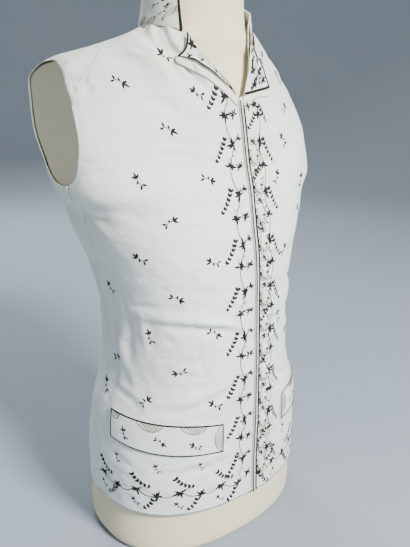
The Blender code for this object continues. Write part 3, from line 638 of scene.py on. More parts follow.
# ---------------------------------------------------------------- how the cloth lies
@dataclass(frozen=True)
class Drape:
    """How far the cloth stands off the form: its standoff, large folds and fine creases."""

    folds: Sequence[Crease]
    creases: Sequence[Crease]
    ripple: float = 0.00022
    wobble: float = 0.0011  # of a crease's course
    partner_depth: float = 0.62
    partner_width: float = 1.25
    partner_off: float = 1.9  # in widths of the crease

    def fold_rise(self, fold: Crease, place: Array) -> Array:
        """Works out the lift of one large fold.

        Args:
            fold: The fold.
            place: Places round and up, in metres.

        Returns:
            The lift.
        """
        start, along = self.course(fold)
        t = np.clip(((place - start) @ along) / (along @ along), 0.0, 1.0)
        off = np.linalg.norm(place - start - t[..., None] * along, axis=-1)
        swell = np.sin(np.pi * (FOLD_TAPER[0] + FOLD_TAPER[1] * t))
        return fold.rise * swell * np.exp(-((off / fold.width) ** 2))

    def course(self, crease: Crease) -> tuple[Array, Array]:
        """Works out where a crease starts, and the way from there to its end.

        Args:
            crease: The crease.

        Returns:
            The start and the way, in metres round and up.
        """
        start = np.array([math.radians(crease.bearing) * PLACE_PER_RADIAN, crease.height])
        end = np.array([math.radians(crease.bearing_end) * PLACE_PER_RADIAN, crease.height_end])
        return start, end - start

    def crease_rise(self, crease: Crease, place: Array, number: int) -> Array:
        """Lift that one fine crease gives at places.

        Args:
            crease: The crease.
            place: Places round and up, in metres, shape (..., 2).
            number: The crease's number, which varies its waves.

        Returns:
            The lift; troughs give negative numbers.
        """
        start, along = self.course(crease)
        length = float(np.hypot(*along))
        aside = np.array([-along[1], along[0]]) / length
        t = ((place - start) @ along) / length**2
        inside = np.clip(t, 0.0, 1.0)
        bend_wave, width_wave, swell_wave = (
            np.sin(radians * inside + step * number)
            for radians, step in (BEND_WAVE, WIDTH_WAVE, SWELL_WAVE)
        )
        bend = crease.bow * 4 * inside * (1 - inside) + self.wobble * bend_wave
        off = (place - start) @ aside - bend
        beyond = (t - inside) * length
        width = crease.width * (WIDTH_RANGE[0] + WIDTH_RANGE[1] * width_wave**2)
        near = np.exp(-((off / width) ** 2) - (beyond / width) ** 2)
        second = off - crease.partner * self.partner_off * width
        partner = np.exp(-((second / (self.partner_width * width)) ** 2) - (beyond / width) ** 2)
        swell = np.sin(np.pi * (CREASE_TAPER[0] + CREASE_TAPER[1] * inside))
        taper = swell * (SWELL_RANGE[0] + SWELL_RANGE[1] * swell_wave)
        return CREASE_DEPTH * crease.rise * taper * (near - self.partner_depth * partner)

    def gap(self, points: Array) -> Array:
        """Distance from the form to the inner face of a single layer as its solid has it.

        Args:
            points: Points of the form.

        Returns:
            The distances.
        """
        bearing = bearing_of(points)
        gap = column(STANDOFFS, "height", "gap", points[..., 2])
        place = joined(np.radians(bearing) * PLACE_PER_RADIAN, points[..., 2])
        return gap + sum(self.fold_rise(fold, place) for fold in self.folds)

    def outer(self, points: Array) -> Array:
        """Distance from the form to the outer face of a single layer of cloth.

        Args:
            points: Points of the form.

        Returns:
            The distances.
        """
        bearing = bearing_of(points)
        height = points[..., 2]
        round_wave, slant_wave, up_wave = RIPPLE_WAVES
        rise = self.ripple * np.sin(bearing * round_wave + slant_wave * height) * np.sin(height * up_wave)
        for turn in (0.0, 360.0, -360.0):
            place = joined(np.radians(bearing + turn) * PLACE_PER_RADIAN, height)
            for number, crease in enumerate(self.creases):
                if turn and max(abs(crease.bearing), abs(crease.bearing_end)) < BEHIND:
                    continue
                rise = rise + self.crease_rise(crease, place, number)
        hem = HEM_RELIEF * ease((HEM_HEIGHT + HEM_TURNING - height) / HEM_SOFTNESS)
        out = self.gap(points) + CAD_CLOTH_WALL + rise + hem
        return np.maximum(out, SHELL_WALL + LEAST_CLEARANCE)


def lap_lift(points: Array) -> Array:
    """Extra distance of the left front where it lies on the right front."""
    fade = ease((points[..., 0] - RIGHT_EDGE_X - LAP_FLAT) / LAP_FADE)
    return (CAD_CLOTH_WALL + LAP_GAP) * (1 - fade)


DRAPE = Drape(LARGE_FOLDS, FINE_CREASES)


def front_top(points: Array, side: Side) -> Array:
    """Distance from the form to the outer face of one front at points."""
    return DRAPE.outer(points) + (lap_lift(points) if side is Side.LEFT else 0.0)


class Rounds:
    """Turns distances round the form into bearings, from a table made once."""

    low, high, rows = 0.060, 0.690, 127
    reach, samples = 0.300, 601
    farthest = 150  # bearing to each side, a sample for each degree

    def __init__(self) -> None:
        """Measures the way round the form at every height of the table."""
        bearing = np.linspace(-self.farthest, self.farthest, 2 * self.farthest + 1)
        heights = np.linspace(self.low, self.high, self.rows)
        ring = SURFACE.ring(bearing[None, :], heights[:, None])
        steps = np.linalg.norm(np.diff(ring, axis=1), axis=2)
        length = np.concatenate([np.zeros((self.rows, 1)), np.cumsum(steps, axis=1)], axis=1)
        length -= length[:, self.farthest : self.farthest + 1]
        at = np.linspace(-self.reach, self.reach, self.samples)
        self.table = np.array([np.interp(at, row, bearing) for row in length])

    def bearing(self, distance: Array, height: Array) -> Array:
        """Bearings at distances round the form from its front middle line.

        Args:
            distance: Distances, positive towards the wearer's left.
            height: Heights.

        Returns:
            The bearings, in degrees.
        """
        column_at = (distance + self.reach) / (2 * self.reach) * (self.samples - 1)
        row_at = (height - self.low) / (self.high - self.low) * (self.rows - 1)
        return bilinear(self.table[..., None], row_at, column_at)[..., 0]


def bilinear(grid: Array, row: Array, col: Array) -> Array:
    """Reads a grid of vectors between its points.

    Args:
        grid: Values, shape (rows, columns, n).
        row: Fractional row numbers.
        col: Fractional column numbers.

    Returns:
        The values, shape (..., n).
    """
    row = np.clip(row, 0, grid.shape[0] - 1.001)
    col = np.clip(col, 0, grid.shape[1] - 1.001)
    i, j = np.floor(row).astype(int), np.floor(col).astype(int)
    a, b = (row - i)[..., None], (col - j)[..., None]
    low = grid[i, j] * (1 - b) + grid[i, j + 1] * b
    high = grid[i + 1, j] * (1 - b) + grid[i + 1, j + 1] * b
    return low * (1 - a) + high * a


ROUNDS = Rounds()


# ---------------------------------------------------------------- outlines of the panels
def side_seam(height: Array | float) -> Array:
    """Reads the bearing of the side seam, as a positive angle.

    Args:
        height: Heights.

    Returns:
        The bearings.
    """
    armpit = SURFACE.yoke(1.0, ARMPIT_TURN)
    heights = [p.height for p in SIDE_SEAM] + [float(armpit[2])]
    bearings = [p.bearing for p in SIDE_SEAM] + [float(bearing_of(armpit))]
    return smooth(heights, bearings, height)


def shoulder_seam(side: Side, shift: float) -> Array:
    """The shoulder seam, from the armhole to the neckline.

    Args:
        side: Which shoulder.
        shift: Degrees by which it is moved backwards.

    Returns:
        Points of the form.
    """
    end = SURFACE.yoke_place(SURFACE.neckline(np.array([side.value * (NECK_SEAM_ANGLE + shift)])))[0]
    share = shares(SEAM_POINTS)
    across = column(SHOULDER_SEAM, "share", "across", share)
    turn = column(SHOULDER_SEAM, "share", "turn", share)
    line = joined(across * side.value, turn + shift)
    line = line + (end - line[-1]) * (share**2)[:, None]
    return SURFACE.yoke(line[:, 0], line[:, 1])


def opening(side: Side, start_height: float, steps: Sequence[int]) -> Array:
    """A front's edge from a height up to the fold, up the roll line and round to the shoulder.

    Args:
        side: Which front.
        start_height: Where it starts.
        steps: Steps of its stretches.

    Returns:
        Points of the form.
    """
    if side is Side.RIGHT:
        edge = SURFACE.front(RIGHT_EDGE_X, np.linspace(start_height, UNDERLAP_TOP, EDGE_POINTS))
        fold = SURFACE.front([UNDERLAP_CORNER_X], [UNDERLAP_CORNER])
        parts = [edge, np.concatenate([edge[-1:], fold])]
        collar_end = COLLAR_ENDS[1] - 360.0
    else:
        edge = SURFACE.front(LEFT_EDGE_X, np.linspace(start_height, FOLD_HEIGHT, EDGE_POINTS))
        fold = edge[-1:]
        parts = [edge]
        collar_end = COLLAR_ENDS[0]
    top = SURFACE.neckline(np.array([collar_end]))
    share = shares(ROLL_POINTS)[:, None]
    parts.append(SURFACE.nearest(fold * (1 - share) + top * share))
    last = side.value * (NECK_SEAM_ANGLE - SEAM_HALF_TURN)
    parts.append(SURFACE.neckline(np.linspace(collar_end, last, SEAM_POINTS)))
    return resample_parts(parts, steps)


def ruled(bottom: Array, start_side: Array, top: Array, end_side: Array) -> Array:
    """Rows of surface points above the armpit, ruled in arm coordinates between four sides.

    Args:
        bottom: The row below, not returned.
        start_side: The side at the first column, with the row below.
        top: The last row.
        end_side: The side at the last column, with the row below.

    Returns:
        The rows' surface points.
    """
    share = shares(len(bottom))[:, None]
    rows = []
    for level, start, end in zip(shares(len(start_side))[1:], start_side[1:], end_side[1:]):
        row = bottom * (1 - level) + top * level
        rows.append(row + (start - row[0]) * (1 - share) + (end - row[-1]) * share)
    rows = np.array(rows)
    return SURFACE.yoke(rows[..., 0], rows[..., 1])


def level_rows(start: Callable, end: Callable, tops: Array, rows: int) -> Array:
    """Rows of surface points from the hem up to the armpit.

    Args:
        start: Gives bearings of the first column at heights.
        end: Gives bearings of the last column at heights.
        tops: Height of the last row at each column.
        rows: How many rows.

    Returns:
        The surface points.
    """
    share = shares(len(tops))
    height = HEM_HEIGHT + (tops - HEM_HEIGHT) * shares(rows)[:, None]
    bearing = start(height) * (1 - share) + end(height) * share
    return SURFACE.ring(bearing, height)


def lengths(points: Array, axis: int) -> Array:
    """Distances along a grid's rows or columns from their first point.

    Args:
        points: The grid or line.
        axis: The axis to go along.

    Returns:
        The distances.
    """
    steps = np.linalg.norm(np.diff(points, axis=axis), axis=-1)
    first = np.zeros_like(np.take(steps, [0], axis=axis))
    return np.concatenate([first, np.cumsum(steps, axis=axis)], axis=axis)


def beside_armhole(top: Array, points: Array, from_edge: Array, armpit: float) -> Array:
    """Lets the cloth lie down on the form towards an armhole, with its edge turned in.

    Args:
        top: Distance from the form to the cloth's outer face.
        points: The points of the form under it.
        from_edge: Their distances from the edge.
        armpit: Height of the armhole's lowest point.

    Returns:
        The new distances.
    """
    above = ease((points[..., 2] - armpit + ARMPIT_BELOW) / ARMPIT_FADE)
    down = above * ease((ARM_LIE_DOWN - from_edge) / ARM_LIE_DOWN)
    relief = ARM_RELIEF * above * ease((ARM_TURNING - from_edge) / HEM_SOFTNESS)
    return top + (ARM_EDGE_TOP - top) * down + relief


# ---------------------------------------------------------------- meshes and pieces
@dataclass
class Weaver:
    """Makes meshes of one piece and links them into the scene."""

    name: str
    finishes: list[Material]
    bm: bmesh.types.BMesh = field(default_factory=bmesh.new)

    def __post_init__(self) -> None:
        """Adds the layers that every mesh has."""
        self.uv = self.bm.loops.layers.uv.new("UVMap")
        self.tone = self.bm.verts.layers.float.new("tone")

    def face(self, verts: Sequence, places: Sequence, finish: int = 0) -> None:
        """Adds a face with its places in the cloth.

        Args:
            verts: The corners.
            places: Their places in the cloth, in metres.
            finish: Number of its material.
        """
        made = self.bm.faces.new(verts)
        made.material_index = finish
        made.smooth = True
        for loop, place in zip(made.loops, places):
            loop[self.uv].uv = place

    def grid(self, points: Array, places: Array, flip: bool = False, close: bool = False) -> list:
        """Adds a grid of quads.

        Args:
            points: Its points, shape (rows, columns, 3).
            places: Places in the cloth, shape (rows, columns, 2).
            flip: Turns the faces over.
            close: Joins the last column to the first.

        Returns:
            The rows of vertices.
        """
        rows, columns = points.shape[:2]
        verts = [[self.bm.verts.new(p) for p in row] for row in points.tolist()]
        places = places.tolist()
        for i in range(rows - 1):
            for j in range(columns if close else columns - 1):
                k = (j + 1) % columns
                corners = [(i, j), (i, k), (i + 1, k), (i + 1, j)]
                if flip:
                    corners.reverse()
                self.face([verts[a][b] for a, b in corners], [places[a][b] for a, b in corners])
        return verts

    def wall(self, inner: Array, outer: Array, places: Array) -> None:
        """Adds a closed wall between two equal grids of points.

        Args:
            inner: Points of the inner face.
            outer: Points of the outer face.
            places: Their places in the cloth.
        """
        inside = self.grid(inner, places, flip=True)
        outside = self.grid(outer, places)
        rows, columns = inner.shape[:2]
        rim = [(0, j) for j in range(columns)]
        rim += [(i, columns - 1) for i in range(1, rows)]
        rim += [(rows - 1, j) for j in range(columns - 2, -1, -1)]
        rim += [(i, 0) for i in range(rows - 2, 0, -1)]
        for (i, j), (p, q) in zip(rim, rim[1:] + rim[:1]):
            corners = (inside[i][j], inside[p][q], outside[p][q], outside[i][j])
            self.face(corners, [places[a][b] for a, b in ((i, j), (p, q), (p, q), (i, j))])

    def finish(self, slot: Slot | None = None, node: str | None = None, recalculate: bool = True) -> Piece:
        """Turns the mesh into a piece that rides the garment.

        Args:
            slot: Material slot of the record that it belongs to; not used.
            node: Node that it takes the place of.
            recalculate: True where the faces' outer sides are still to be found.

        Returns:
            The piece.
        """
        if recalculate:
            bmesh.ops.recalc_face_normals(self.bm, faces=self.bm.faces)
        mesh = bpy.data.meshes.new(self.name)
        triangles = sum(len(face.verts) - 2 for face in self.bm.faces)
        self.bm.to_mesh(mesh)
        self.bm.free()
        for finish in self.finishes:
            mesh.materials.append(finish)
        made = bpy.data.objects.new(self.name, mesh)
        bpy.context.scene.collection.objects.link(made)
        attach(made, "root")
        if node:
            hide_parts(node)
        LOG.info("%s: %d triangles", self.name, triangles)
        return made


def walled(
    name: str, finish: Material, faces: Sequence[Array], places: Array, slot: Slot, node: str
) -> Piece:
    """Makes a piece of cloth as a closed wall.

    Args:
        name: Its name.
        finish: Its material.
        faces: The grids of its inner and outer face.
        places: Places in the cloth.
        slot: Material slot of the record.
        node: Node that it takes the place of.

    Returns:
        The piece.
    """
    weaver = Weaver(name, [finish])
    weaver.wall(*faces, places)
    return weaver.finish(slot, node)


def cloth_places(points: Array) -> Array:
    """Places in the cloth of a grid of points, in metres across and up."""
    return joined(lengths(points, 1), lengths(points, 0))


class Ground(Protocol):
    """Something that can be sewn on."""

    def place(self, u: Array, v: Array, lift: Array) -> Array:
        """Points at places (u, v) of the cloth, raised by lift."""


@dataclass
class FrontGround:
    """A front panel: u is the distance from the front middle on its side, v the height over the hem."""

    side: Side

    def place(self, u: Array, v: Array, lift: Array) -> Array:
        """Finds points on the cloth.

        Args:
            u: Distances from the front middle.
            v: Heights over the hem.
            lift: How far they are raised.

        Returns:
            The points.
        """
        height = HEM_HEIGHT + v
        points = SURFACE.ring(ROUNDS.bearing(self.side.value * u, height), height)
        return SURFACE.raised(points, front_top(points, self.side) + lift)


@dataclass
class GridGround:
    """A small piece known by the grid of its outer face."""

    points: Array
    outward: float = 1.0

    def __post_init__(self) -> None:
        """Works out the piece's size and its normals."""
        along, up = np.gradient(self.points, axis=1), np.gradient(self.points, axis=0)
        normal = np.cross(along, up) * self.outward
        self.normals = normal / np.linalg.norm(normal, axis=-1, keepdims=True)
        self.row_lengths = lengths(self.points, 1)[:, -1:]
        self.width = float(lengths(self.points, 0)[-1].mean())

    def span(self, v: Array) -> Array:
        """How long the piece is at distances across it.

        Args:
            v: Distances across it.

        Returns:
            The lengths.
        """
        row = np.asarray(v, float) / self.width * (self.points.shape[0] - 1)
        low = np.clip(np.floor(row).astype(int), 0, self.points.shape[0] - 2)
        share = np.clip(row - low, 0.0, 1.0)
        return self.row_lengths[low, 0] * (1 - share) + self.row_lengths[low + 1, 0] * share

    def spot(self, share: float, depth: float) -> tuple[float, float]:
        """The place in mm at a share of the width and a share of the length there."""
        return depth * float(self.span(share * self.width)) / MM, share * self.width / MM

    def place(self, u: Array, v: Array, lift: Array) -> Array:
        """Finds points on the piece.

        Args:
            u: Metres along it.
            v: Metres across it.
            lift: How far they are raised.

        Returns:
            The points.
        """
        row = v / self.width * (self.points.shape[0] - 1)
        col = u / self.span(v) * (self.points.shape[1] - 1)
        base = bilinear(self.points, row, col)
        return base + bilinear(self.normals, row, col) * np.asarray(lift)[..., None]


# ---------------------------------------------------------------- embroidery
def turned(angle: float, length: float) -> tuple[float, float]:
    """A step of a length at an angle in degrees from straight up, positive towards +u."""
    return length * math.sin(math.radians(angle)), length * math.cos(math.radians(angle))


# Shares of a leaf's length and width; then the corners of its faces.
LEAF_OUTLINE = [(0.0, 0.0), (0.34, 0.5), (0.70, 0.40), (1.0, 0.0), (0.70, -0.40), (0.34, -0.5)]
LEAF_SPINE = [(0.30, 0.0), (0.68, 0.0)]
LEAF_RIM, LEAF_RISE = 0.02, 0.22  # over a button's dome, in mm
LEAF_FACES = [(0, 1, 6), (1, 2, 7, 6), (2, 3, 7), (3, 4, 7), (4, 5, 6, 7), (5, 0, 6)]


@dataclass
class Stitcher:
    """Collects the stitches of one piece of embroidery and lays them on its ground."""

    name: str
    ground: Ground
    seed: int
    mirrored: bool = False
    spots: list = field(default_factory=list)
    faces: list = field(default_factory=list)

    def __post_init__(self) -> None:
        """Starts the hand that varies the stitches."""
        self.hand = random.Random(self.seed)

    def vary(self, value: float, share: float = 0.12) -> float:
        """The value, as a hand would repeat it."""
        return value * (1 + self.hand.uniform(-share, share))

    def leaf(self, u: float, v: float, size: tuple, angle: float, thread: Thread = Thread.DARK) -> None:
        """Sews a satin-stitch leaf.

        Args:
            u: Where it starts.
            v: Where it starts.
            size: Its length and width, in mm.
            angle: Its direction, in degrees from straight up.
            thread: Its silk.
        """
        length, width = self.vary(size[0] * MM), self.vary(size[1] * MM)
        angle += self.hand.uniform(-LEAF_SWAY, LEAF_SWAY)
        tone = self.hand.random()
        first = len(self.spots)
        for points, lift in ((LEAF_OUTLINE, RIM_LIFT), (LEAF_SPINE, RIM_LIFT + LEAF_CROWN * width)):
            for along, aside in points:
                du, dv = turned(angle, along * length)
                su, sv = turned(angle + 90, aside * width)
                place = (aside * width, along * length)
                self.spots.append((u + du + su, v + dv + sv, lift, tone, *place))
        self.faces += [(tuple(first + k for k in face), thread) for face in LEAF_FACES]

    def line(self, path: Sequence, width: float, thread: Thread = Thread.DARK) -> None:
        """Sews a line of stem stitch.

        Args:
            path: Its (u, v) points, in metres.
            width: Its width, in mm.
            thread: Its silk.
        """
        path = np.asarray(path, float)
        count = max(2, int(lengths(path, 0)[-1] / LINE_STEP) + 1)
        path = resample(path, count)
        way = np.gradient(path, axis=0)
        way /= np.maximum(np.linalg.norm(way, axis=1, keepdims=True), 1e-9)
        aside = joined(way[:, 1], -way[:, 0]) * width * MM / 2
        run = lengths(path, 0)
        tone = self.hand.random()
        first = len(self.spots)
        for k in range(count):
            for share, lift in ((-1, RIM_LIFT), (0, RIM_LIFT + LINE_CROWN * width * MM), (1, RIM_LIFT)):
                u, v = path[k] + share * aside[k]
                self.spots.append((u, v, lift, tone, share * width * MM / 2, run[k]))
        for k in range(first, first + 3 * (count - 1), 3):
            self.faces.append(((k + 1, k, k + 3, k + 4), thread))
            self.faces.append(((k + 2, k + 1, k + 4, k + 5), thread))

    def dashes(self, path: Sequence, sizes: tuple, thread: Thread = Thread.DARK) -> None:
        """Sews a row of running stitches.

        Args:
            path: The (u, v) points of the row, in metres.
            sizes: Length, pitch and width of the stitches, in mm.
            thread: Their silk.
        """
        dash, pitch, width = sizes
        total = float(lengths(np.asarray(path, float), 0)[-1])
        count = max(1, int(total / (pitch * MM)))
        ends = resample(path, 2 * count + 1)
        for k in range(count):
            start, way = ends[2 * k], (ends[2 * k + 1] - ends[2 * k]) * 2
            share = dash / pitch * self.hand.uniform(SHORTEST_DASH, 1.0)
            self.line([start, start + way * share], width, thread)

    def make(self, finishes: list[Material]) -> Piece:
        """Lays all stitches on the ground.

        Args:
            finishes: The silks, in the order of Thread.

        Returns:
            The piece.
        """
        spots = np.array(self.spots)
        points = self.ground.place(spots[:, 0], spots[:, 1], spots[:, 2])
        weaver = Weaver(self.name, finishes)
        verts = [weaver.bm.verts.new(p) for p in points.tolist()]
        for vert, tone in zip(verts, spots[:, 3]):
            vert[weaver.tone] = tone
        places = spots[:, 4:6].tolist()
        for corners, thread in self.faces:
            order = corners[::-1] if self.mirrored else corners
            weaver.face([verts[k] for k in order], [places[k] for k in order], thread.value)
        return weaver.finish(recalculate=False)


def curve(points: Sequence, steps: int = 6) -> Array:
    """A soft line through (u, v) points given in mm, as metres.

    Args:
        points: The points.
        steps: Steps between neighbouring points.

    Returns:
        The line.
    """
    points = np.asarray(points, float) * MM
    padded = np.concatenate([points[:1], points, points[-1:]])
    t = np.linspace(0, 1, steps, endpoint=False)[:, None]
    parts = []
    for a, b, c, d in zip(padded, padded[1:], padded[2:], padded[3:]):
        bend = 2 * b + (c - a) * t + (2 * a - 5 * b + 4 * c - d) * t**2
        parts.append((bend + (3 * b - a - 3 * c + d) * t**3) / 2)
    return np.concatenate([*parts, points[-1:]])


def sized(size: tuple, scale: float) -> tuple:
    """A leaf's length and width, scaled."""
    return tuple(side * scale for side in size)


@dataclass(frozen=True)
class Sprig:
    """A small loose sprig: three leaves in a fan, a stem with one more, and a fork of two."""

    stem: float = 8.0
    ahead: float = 0.3  # the fan's distance from the middle, as a share of the stem
    tail: float = 2.3  # the fork's distance, in those of the fan
    bend: float = 0.14
    thread: float = 0.85
    fan: tuple = ((-50, 6.8), (-4, 8.8), (40, 6.8))
    fan_width: float = 2.9
    fork: tuple = (6.6, 2.7)
    fork_angle: float = 44
    middle: tuple = (5.6, 2.4)
    middle_angle: float = 118

    def sew(self, on: Stitcher, u: float, v: float, angle: float, scale: float = 1.0) -> None:
        """Sews it round a place given in mm.

        Args:
            on: Where it is sewn.
            u: Place of its middle.
            v: Place of its middle.
            angle: Direction of its fan.
            scale: Its size, as a share of the usual one.
        """
        stem = self.stem * scale
        ahead, bend = turned(angle, stem * self.ahead), turned(angle + 90, self.bend * stem)
        head = (u + ahead[0], v + ahead[1])
        foot = (u - self.tail * ahead[0], v - self.tail * ahead[1])
        on.line(curve([foot, (u - ahead[0] + bend[0], v - ahead[1] + bend[1]), head], 4), self.thread * scale)
        for turn, length in self.fan:
            on.leaf(head[0] * MM, head[1] * MM, (length * scale, self.fan_width * scale), angle + turn)
        for side in (-1, 1):
            heading = angle + 180 + side * self.fork_angle
            on.leaf(foot[0] * MM, foot[1] * MM, sized(self.fork, scale), heading)
        on.leaf(u * MM, v * MM, sized(self.middle, scale), angle + self.middle_angle)


@dataclass(frozen=True)
class Comb:
    """A spray with a row of paired leaves, like the teeth of a comb."""

    pitch: float = 5.7
    near: tuple = (6.4, 3.7)
    far: tuple = (5.0, 2.9)
    stem: float = 0.45
    lean: float = 36
    heart: tuple = (0.72, 0.8)  # the middle leaves' sizes, as shares of the others'
    tip: tuple = (3.4, 0.35)

    def sew(self, on: Stitcher, start: tuple, end: tuple, bow: float = 1.0) -> None:
        """Sews it between two places given in mm.

        Args:
            on: Where it is sewn.
            start: Its thick end.
            end: Its thin end.
            bow: How far its middle is bent to its left.
        """
        start, end = np.array(start, float), np.array(end, float)
        way = end - start
        aside = np.array([-way[1], way[0]]) / np.linalg.norm(way)
        path = curve([start, (start + end) / 2 + aside * bow, end], 8)
        on.line(path, self.stem)
        nodes = max(4, round(float(np.linalg.norm(way)) / self.pitch))
        stations = resample(path, 4 * nodes + 1)
        for k in range(nodes):
            share = (k + 0.5) / nodes
            spot = stations[4 * k + 3]
            step = stations[4 * k + 4] - spot
            heading = math.degrees(math.atan2(step[0], step[1]))
            long, wide = (a * (1 - share) + b * share for a, b in zip(self.near, self.far))
            for side in (-1, 1):
                on.leaf(*spot, (long, wide), heading + 180 + side * self.lean)
            on.leaf(*spot, (self.heart[0] * long, self.heart[1] * wide), heading + 180)
        on.line([path[-1], path[-1] + np.array(turned(heading, self.tip[0] * MM))], self.tip[1])


@dataclass(frozen=True)
class Cluster:
    """A tuft of leaves where the vine turns."""

    turns: tuple = (-96, -50, -12, 30, 74, 128)
    size: tuple = (10.2, 3.0)
    short: float = 0.70  # length of every other leaf, as a share
    bud: tuple = (2.6, 1.9)
    bud_angle: float = 190

    def sew(self, on: Stitcher, u: float, v: float, angle: float, scale: float = 1.0) -> None:
        """Sews it.

        Args:
            on: Where it is sewn.
            u: Its place, in mm.
            v: Its place, in mm.
            angle: Its direction, in degrees from up.
            scale: Its size, as a share of the usual one.
        """
        for k, turn in enumerate(self.turns):
            length = self.size[0] * (1.0 if k % 2 else self.short) * scale
            on.leaf(u * MM, v * MM, (length, self.size[1] * scale), angle + turn)
        on.leaf(u * MM, v * MM, sized(self.bud, scale), angle + self.bud_angle, Thread.TAN)


SPRIG, COMB, CLUSTER = Sprig(), Comb(), Cluster()
SMALL_COMB = Comb(5.0, (6.0, 3.0), (4.8, 2.4))
# Seeds of the random draws of each piece's embroidery.
FRONT_SEED, WELT_SEED, LAPEL_SEED, COLLAR_SEED, BAND_SEED = 11, 31, 51, 71, 91
TENDRIL_LINE = 0.55
# Places of a curl in mm, outwards and up.
TENDRIL = [(0.0, 0.0), (2.6, 2.2), (5.2, 2.0), (6.0, 0.0), (4.6, -1.0)]


def tendril(on: Stitcher, u: float, v: float, flip: float, scale: float = 1.0) -> None:
    """Sews a thin curl at a place given in mm; flip is 1 or -1."""
    path = [(u + flip * a * scale, v + b * scale) for a, b in TENDRIL]
    on.line(curve(path, 4), TENDRIL_LINE)


def scallop(on: Stitcher, start: tuple, end: tuple, drop: float) -> None:
    """Sews a tan scallop filled with a lattice.

    Args:
        on: Where it is sewn.
        start: Where its straight side starts, in mm.
        end: Where its straight side ends.
        drop: How deep it hangs, to the right of the way from start to end.
    """
    start, end = np.array(start, float), np.array(end, float)
    length = float(np.linalg.norm(end - start))
    ahead = (end - start) / length
    down = np.array([ahead[1], -ahead[0]])

    def depth(along: float) -> float:
        """How deep the scallop is at a place along it."""
        return drop * math.sin(math.pi * min(max(along / length, 0.0), 1.0)) ** ARC_POWER

    rim = [start + ahead * t * length + down * depth(t * length) for t in ARC_SHARES]
    on.line(curve(rim, 3), ARC_LINE, Thread.TAN)
    for k in range(1, int(length / LATTICE_PITCH)):
        foot = k * LATTICE_PITCH
        for lean in (-1, 1):
            reach = 0.0
            while reach < depth(foot + lean * reach) and reach < 3 * drop:
                reach += LATTICE_STEP
            if reach > LATTICE_LEAST:
                ends = [start + ahead * foot, start + ahead * (foot + lean * reach) + down * reach]
                on.line(np.array(ends) * MM, LATTICE_LINE, Thread.TAN)


class Spot(NamedTuple):
    """A loose sprig's place in mm (from the front middle, over the hem) and its stem's angle."""

    u: float
    v: float
    angle: float


SPRIGS = {
    Side.RIGHT: [Spot(*row) for row in (
        (80, 587, 48), (135, 556, -115), (50, 545, 60), (92, 505, -118), (136, 452, 30),
        (51, 447, -110), (104, 403, -60), (143, 360, 58), (56, 350, 70), (198, 309, 40),
        (100, 307, -112), (136, 252, 20), (54, 256, -120), (196, 208, -70), (100, 207, 110),
        (222, 162, 20), (145, 163, -50), (56, 158, 60),
    )],
    Side.LEFT: [Spot(*row) for row in (
        (80, 587, 40), (133, 560, -22), (109, 522, 58), (85, 484, -34), (60, 440, 30), (122, 429, 12),
        (120, 388, -40), (68, 345, 52), (160, 336, 24), (112, 300, 66), (57, 254, -18), (140, 256, 44),
        (186, 286, -30), (200, 232, 36), (98, 222, 60), (236, 172, -28),
    )],
}  # fmt: skip
# Widths of the borders' threads in mm; then length, pitch and width of their running stitches.
VINE_LINE, BUTTON_VINE_LINE, SHOOT_LINE, STALK_LINE = 1.25, 1.2, 0.4, 0.5
SCROLL_AND_SHADOW_LINE, CURL_LINE, WINDING_LINE, EDGE_LINE = 1.1, 1.0, 0.9, 2.8
EDGE_DASHES_AND_LAP_SHADOW, HEM_DASHES = (1.6, 3.4, 0.5), (3.2, 4.2, 0.9)
HEM_FINE_DASHES, MEND_DASHES = (1.0, 3.0, 0.30), (1.9, 2.6, 0.4)
BORDER_PITCH = 60.6
BORDER_LOWEST = 60.5
BORDER_REPEATS = 8
BORDER_TOP = BORDER_LOWEST + BORDER_PITCH * BORDER_REPEATS


class Tuft(NamedTuple):
    """A tuft beside a vine: its place, its angles in even and in odd repeats, and its size."""

    u: float
    v: float
    even: float
    odd: float
    scale: float = 1.0


def lifted(places: Sequence[tuple], v: float) -> list[tuple]:
    """Moves places up by a distance."""
    return [(across, v + up) for across, up in places]


@dataclass(frozen=True)
class Repeat:
    """What an upright border repeats.

    Places are in mm from the front middle and over the place where the repeat starts. A comb has its
    kind, its two ends and its bow. A tendril has its place, its flip and its size.
    """

    knots: tuple
    tufts: tuple
    shoots: tuple
    combs: tuple
    stalk: tuple
    tendrils: tuple

    def sew(self, on: Stitcher, number: int) -> list[tuple]:
        """Sews one repeat, but not its vine.

        Args:
            on: Where it is sewn.
            number: Counts the repeats from the hem up.

        Returns:
            The places that the vine runs through.
        """
        v = BORDER_LOWEST + BORDER_PITCH * number
        for tuft in self.tufts:
            CLUSTER.sew(on, tuft.u, v + tuft.v, tuft.odd if number % 2 else tuft.even, tuft.scale)
        for shoot in self.shoots:
            on.line(curve(lifted(shoot, v), 4), SHOOT_LINE)
        for comb, start, end, bow in self.combs:
            comb.sew(on, *lifted((start, end), v), bow)
        on.line(curve(lifted(self.stalk, v), 4), STALK_LINE)
        for across, up, flip, scale in self.tendrils:
            tendril(on, across, v + up, flip, scale)
        return lifted(self.knots, v)


